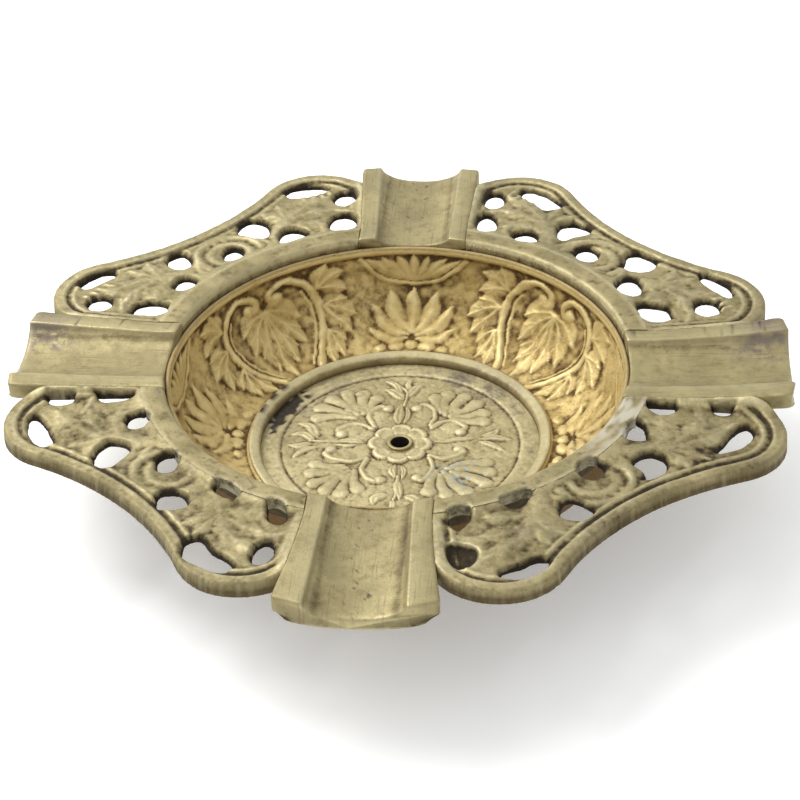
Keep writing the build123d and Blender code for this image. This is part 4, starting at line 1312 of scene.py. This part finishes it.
# %% The finish
def aged_brass(name, bright, body, stain_and_shade_tone, deep_and_shade_tone, grime_share, tarnish, rough, cast, streaks=False):
    """Cast or turned brass with rubbed ridges, dull flats, stained hollows, painted shade on walls and in
    holes, and a painted glare where a piece carries one.
    """
    material = bpy.data.materials.new(name)
    material.use_nodes = True
    tree = material.node_tree
    tree.nodes.clear()
    here = add(tree, "ShaderNodeTexCoord").outputs["Object"]
    share = {**at_points(tree, POINT_VALUES), "grime_share": grime_share, "tarnish": tarnish}
    for key, (size_mm, detail, roughness, offset) in NOISES.items():
        place = add(tree, "move", (here, (offset, offset * 0.7, offset * 0.3)))
        share[key] = add(tree, "noise", (place, 1 / (size_mm * MM), detail, roughness))
    for result, what, *given in STEPS:
        share[result] = add(tree, what, [share[g] if isinstance(g, str) else g for g in given])

    # Dull straw brass in three tones, then each layer over the one before it.
    colour = add(tree, "mix", (share["broad"], linear(body[0]), linear(body[1])))
    for key, tone in (("fine", body[2]), ("patch", TARNISH_GREY), ("stained", stain_and_shade_tone), ("outside", stain_and_shade_tone),
                      ("darkest", deep_and_shade_tone), ("rubbed", bright), ("scraped", PAINTED_GLARE_PALE),
                      ("verdigris", VERDIGRIS_BLUE), ("tarred", TAR_AND_BORE_SHADE_BLACK)):
        colour = add(tree, "mix", (share[key], colour, linear(tone)))
    rind = add(tree, "sum", (share["skin"], share["swell"]))
    bump = add(tree, "ShaderNodeBump", {"Strength": 0.45 * cast, "Distance": 0.12 * MM, "Height": rind})
    if streaks:
        # Fine lines along the trough, where each stick was drawn across.
        trough = at_points(tree, ("run", "side"))
        run = add(tree, "ShaderNodeCombineXYZ",
                  {"X": trough["run"], "Y": trough["side"], "Z": 0.0}).outputs[0]
        run = add(tree, "ShaderNodeMapping", {"Vector": run, "Scale": STREAK_SCALE}).outputs[0]
        line = add(tree, "noise", (run, 1.0, 3.0, 0.6))
        streak = add(tree, "times", (add(tree, "window", (line, 0.55, 0.7)), 0.4))
        colour = add(tree, "mix", (streak, colour, linear(stain_and_shade_tone)))
        bump = add(tree, "ShaderNodeBump",
                   {"Strength": 0.2, "Distance": 0.1 * MM, "Height": line, "Normal": bump.outputs[0]})
    roughness = add(tree, "ShaderNodeMapRange",
                    {"Value": share["dull"], "From Min": 0.1, "From Max": 1.0,
                     "To Min": rough, "To Max": rough + 0.25}).outputs["Result"]
    shader = add(tree, "ShaderNodeBsdfPrincipled",
                 {"Metallic": METAL_SHOWING, "Base Color": colour, "Roughness": roughness,
                  "Normal": bump.outputs[0]})
    add(tree, "ShaderNodeOutputMaterial", {"Surface": shader.outputs[0]})
    print(f"{name}: {len(tree.nodes)} nodes")
    return material


# %% [markdown]
# ## Five finishes
# Every part is the same alloy, so the five finishes share one recipe and differ in warmth and dirt. The
# colours are, in order, the rubbed ridge, three tones of the flats, the stain, which also paints shade on
# walls, and the deepest dirt, which also paints shade inside holes. The numbers are the strength of the
# grime and painted shade and of the tarnish, the lowest roughness and the depth of the skin.

# %% The five finishes
# Openwork and collar: the eye sees a greenish straw metal, dull, with black in every hollow.
FRAME_BRASS = aged_brass("aged_cast_brass_frame", "#D2C79E", ("#A4976E", "#8A7F58", "#716743"),
                         "#56492B", "#2B2318", 1.0, 0.6, 0.52, 1.3)
# Rests: handled most, so they are smoother and carry fine lines along the trough.
REST_BRASS = aged_brass("aged_cast_brass_rests", "#CFC396", ("#A4986D", "#928660", "#80754F"),
                        "#5B4D2E", "#2A2218", 0.9, 0.5, 0.43, 1.0, streaks=True)
# Bowl: sheltered, it stays a warmer yellow, with red-brown in the ground of the relief and darker towards
# the south-east.
BOWL_BRASS = aged_brass("aged_cast_brass_bowl", "#F0E0A8", ("#D2BC82", "#BCA56A", "#9F8850"),
                        "#715730", "#402E17", 0.85, 0.8, 0.56, 1.6)
# Floor: ash and wiping leave it pale and greyish, with a thin brown line round each petal.
FLOOR_BRASS = aged_brass("aged_cast_brass_floor", "#E4DAB2", ("#C0B48A", "#AA9E75", "#91865D"),
                         "#68563B", "#3A2E20", 0.9, 0.8, 0.56, 1.4)
# Turned parts: cut on a lathe, so the skin is finer and the hollows cleaner.
TURNED_BRASS = aged_brass("aged_turned_brass", "#C9BE90", ("#A89B70", "#958960", "#837851"),
                          "#544A30", "#2A2317", 0.8, 0.4, 0.5, 0.5)

# %% Finishes, the root body, and the CAD nodes they stand for
DRESSING = {
    "rest": (REST_BRASS, "cast_brass_frame"), "openwork": (FRAME_BRASS, "cast_brass_frame"),
    "collar": (FRAME_BRASS, "cast_brass_frame"), "bowl": (BOWL_BRASS, "cast_brass_bowl"),
    "floor": (FLOOR_BRASS, "cast_brass_floor"), "foot": (TURNED_BRASS, "turned_brass"),
    "stick": (TURNED_BRASS, "turned_brass"), "socket": (TURNED_BRASS, "turned_brass"),
}
for node, piece in pieces.items():
    finish, slot = DRESSING[node.split("_")[0]]
    piece.data.materials.append(finish)
    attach(piece, "root")
    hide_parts(node)
    print(node, "wears", finish.name)

GRAIN_DENSITY = 1.5e6   # grains to a square metre where the ground is barest
GRAIN_SIZE = 0.2 * MM
GRAIN_SEED = 7
grains = scatter_grains("bowl_casting_grain", pieces["bowl"], BOWL_BRASS, GRAIN_DENSITY, GRAIN_SIZE,
                        GRAIN_SEED)
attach(grains, "root")

# %% [markdown]
# ## Table, light and camera
# The dish stands on a pale table under soft studio light: a large lamp overhead and a little behind, a
# weaker one from the front, and a bright even room. The camera looks down at about 35 degrees.

# %% Stage
TABLE_SIZE = 3.0
PAPER_GLOW = 0.22       # light that comes through the paper, and keeps the shadows pale
ROOM_LIGHT = 0.93
LAMP_AIM = Vector((0, 0, 0.02))

bpy.ops.mesh.primitive_plane_add(size=TABLE_SIZE, location=(0, 0, 0))
table = bpy.context.object
table.name = "table_top"
# White paper: matt and clean, so the eye sees only the dish's soft shadow.
paper = bpy.data.materials.new("white_paper")
paper.use_nodes = True
for key, value in {"Base Color": linear("#F4F4F2"), "Roughness": 0.8,
                   "Emission Color": linear("#FFFFFF"), "Emission Strength": PAPER_GLOW}.items():
    paper.node_tree.nodes["Principled BSDF"].inputs[key].default_value = value
table.data.materials.append(paper)

world = bpy.data.worlds.new("room")
bpy.context.scene.world = world
world.use_nodes = True
world.node_tree.nodes["Background"].inputs["Color"].default_value = linear("#F2F3F5")
world.node_tree.nodes["Background"].inputs["Strength"].default_value = ROOM_LIGHT


def lamp(name, place, size, power):
    """A square area lamp that looks at the dish."""
    data = bpy.data.lights.new(name, "AREA")
    data.size = size
    data.energy = power
    obj = bpy.data.objects.new(name, data)
    bpy.context.scene.collection.objects.link(obj)
    obj.location = place
    print(name, "gives", power, "W")
    obj.rotation_euler = (LAMP_AIM - Vector(place)).to_track_quat("-Z", "Y").to_euler()


lamp("window_light", (-0.38, 0.2, 0.54), 0.42, 4.3)
lamp("front_fill", (0.3, -0.7, 0.5), 0.5, 0.25)

# %% Camera
CAMERA_AZIMUTH = 5.8
CAMERA_ELEVATION = 35.2
CAMERA_ROLL = 2.3
CAMERA_DISTANCE = 400.3 * MM
LENS_MM = 94.2
SENSOR_MM = 36.0
AIM = Vector((1.9 * MM, -15.0 * MM, TOP * MM))

az, el = math.radians(CAMERA_AZIMUTH), math.radians(CAMERA_ELEVATION)
back = Vector((math.sin(az) * math.cos(el), -math.cos(az) * math.cos(el), math.sin(el)))
right = Vector((math.cos(az), math.sin(az), 0))
up = back.cross(right)
roll = math.radians(CAMERA_ROLL)
right, up = right * math.cos(roll) - up * math.sin(roll), up * math.cos(roll) + right * math.sin(roll)
lens = bpy.data.cameras.new("camera")
lens.lens = LENS_MM
lens.sensor_width = SENSOR_MM
camera = bpy.data.objects.new("camera", lens)
bpy.context.scene.collection.objects.link(camera)
place = AIM + back * CAMERA_DISTANCE
camera.matrix_world = Matrix((
    (right.x, up.x, back.x, place.x), (right.y, up.y, back.y, place.y),
    (right.z, up.z, back.z, place.z), (0, 0, 0, 1)))
print("camera", round(CAMERA_DISTANCE / MM), "mm away, lens", LENS_MM, "mm")
bpy.context.scene.camera = camera
bpy.context.scene.view_settings.view_transform = "Standard"
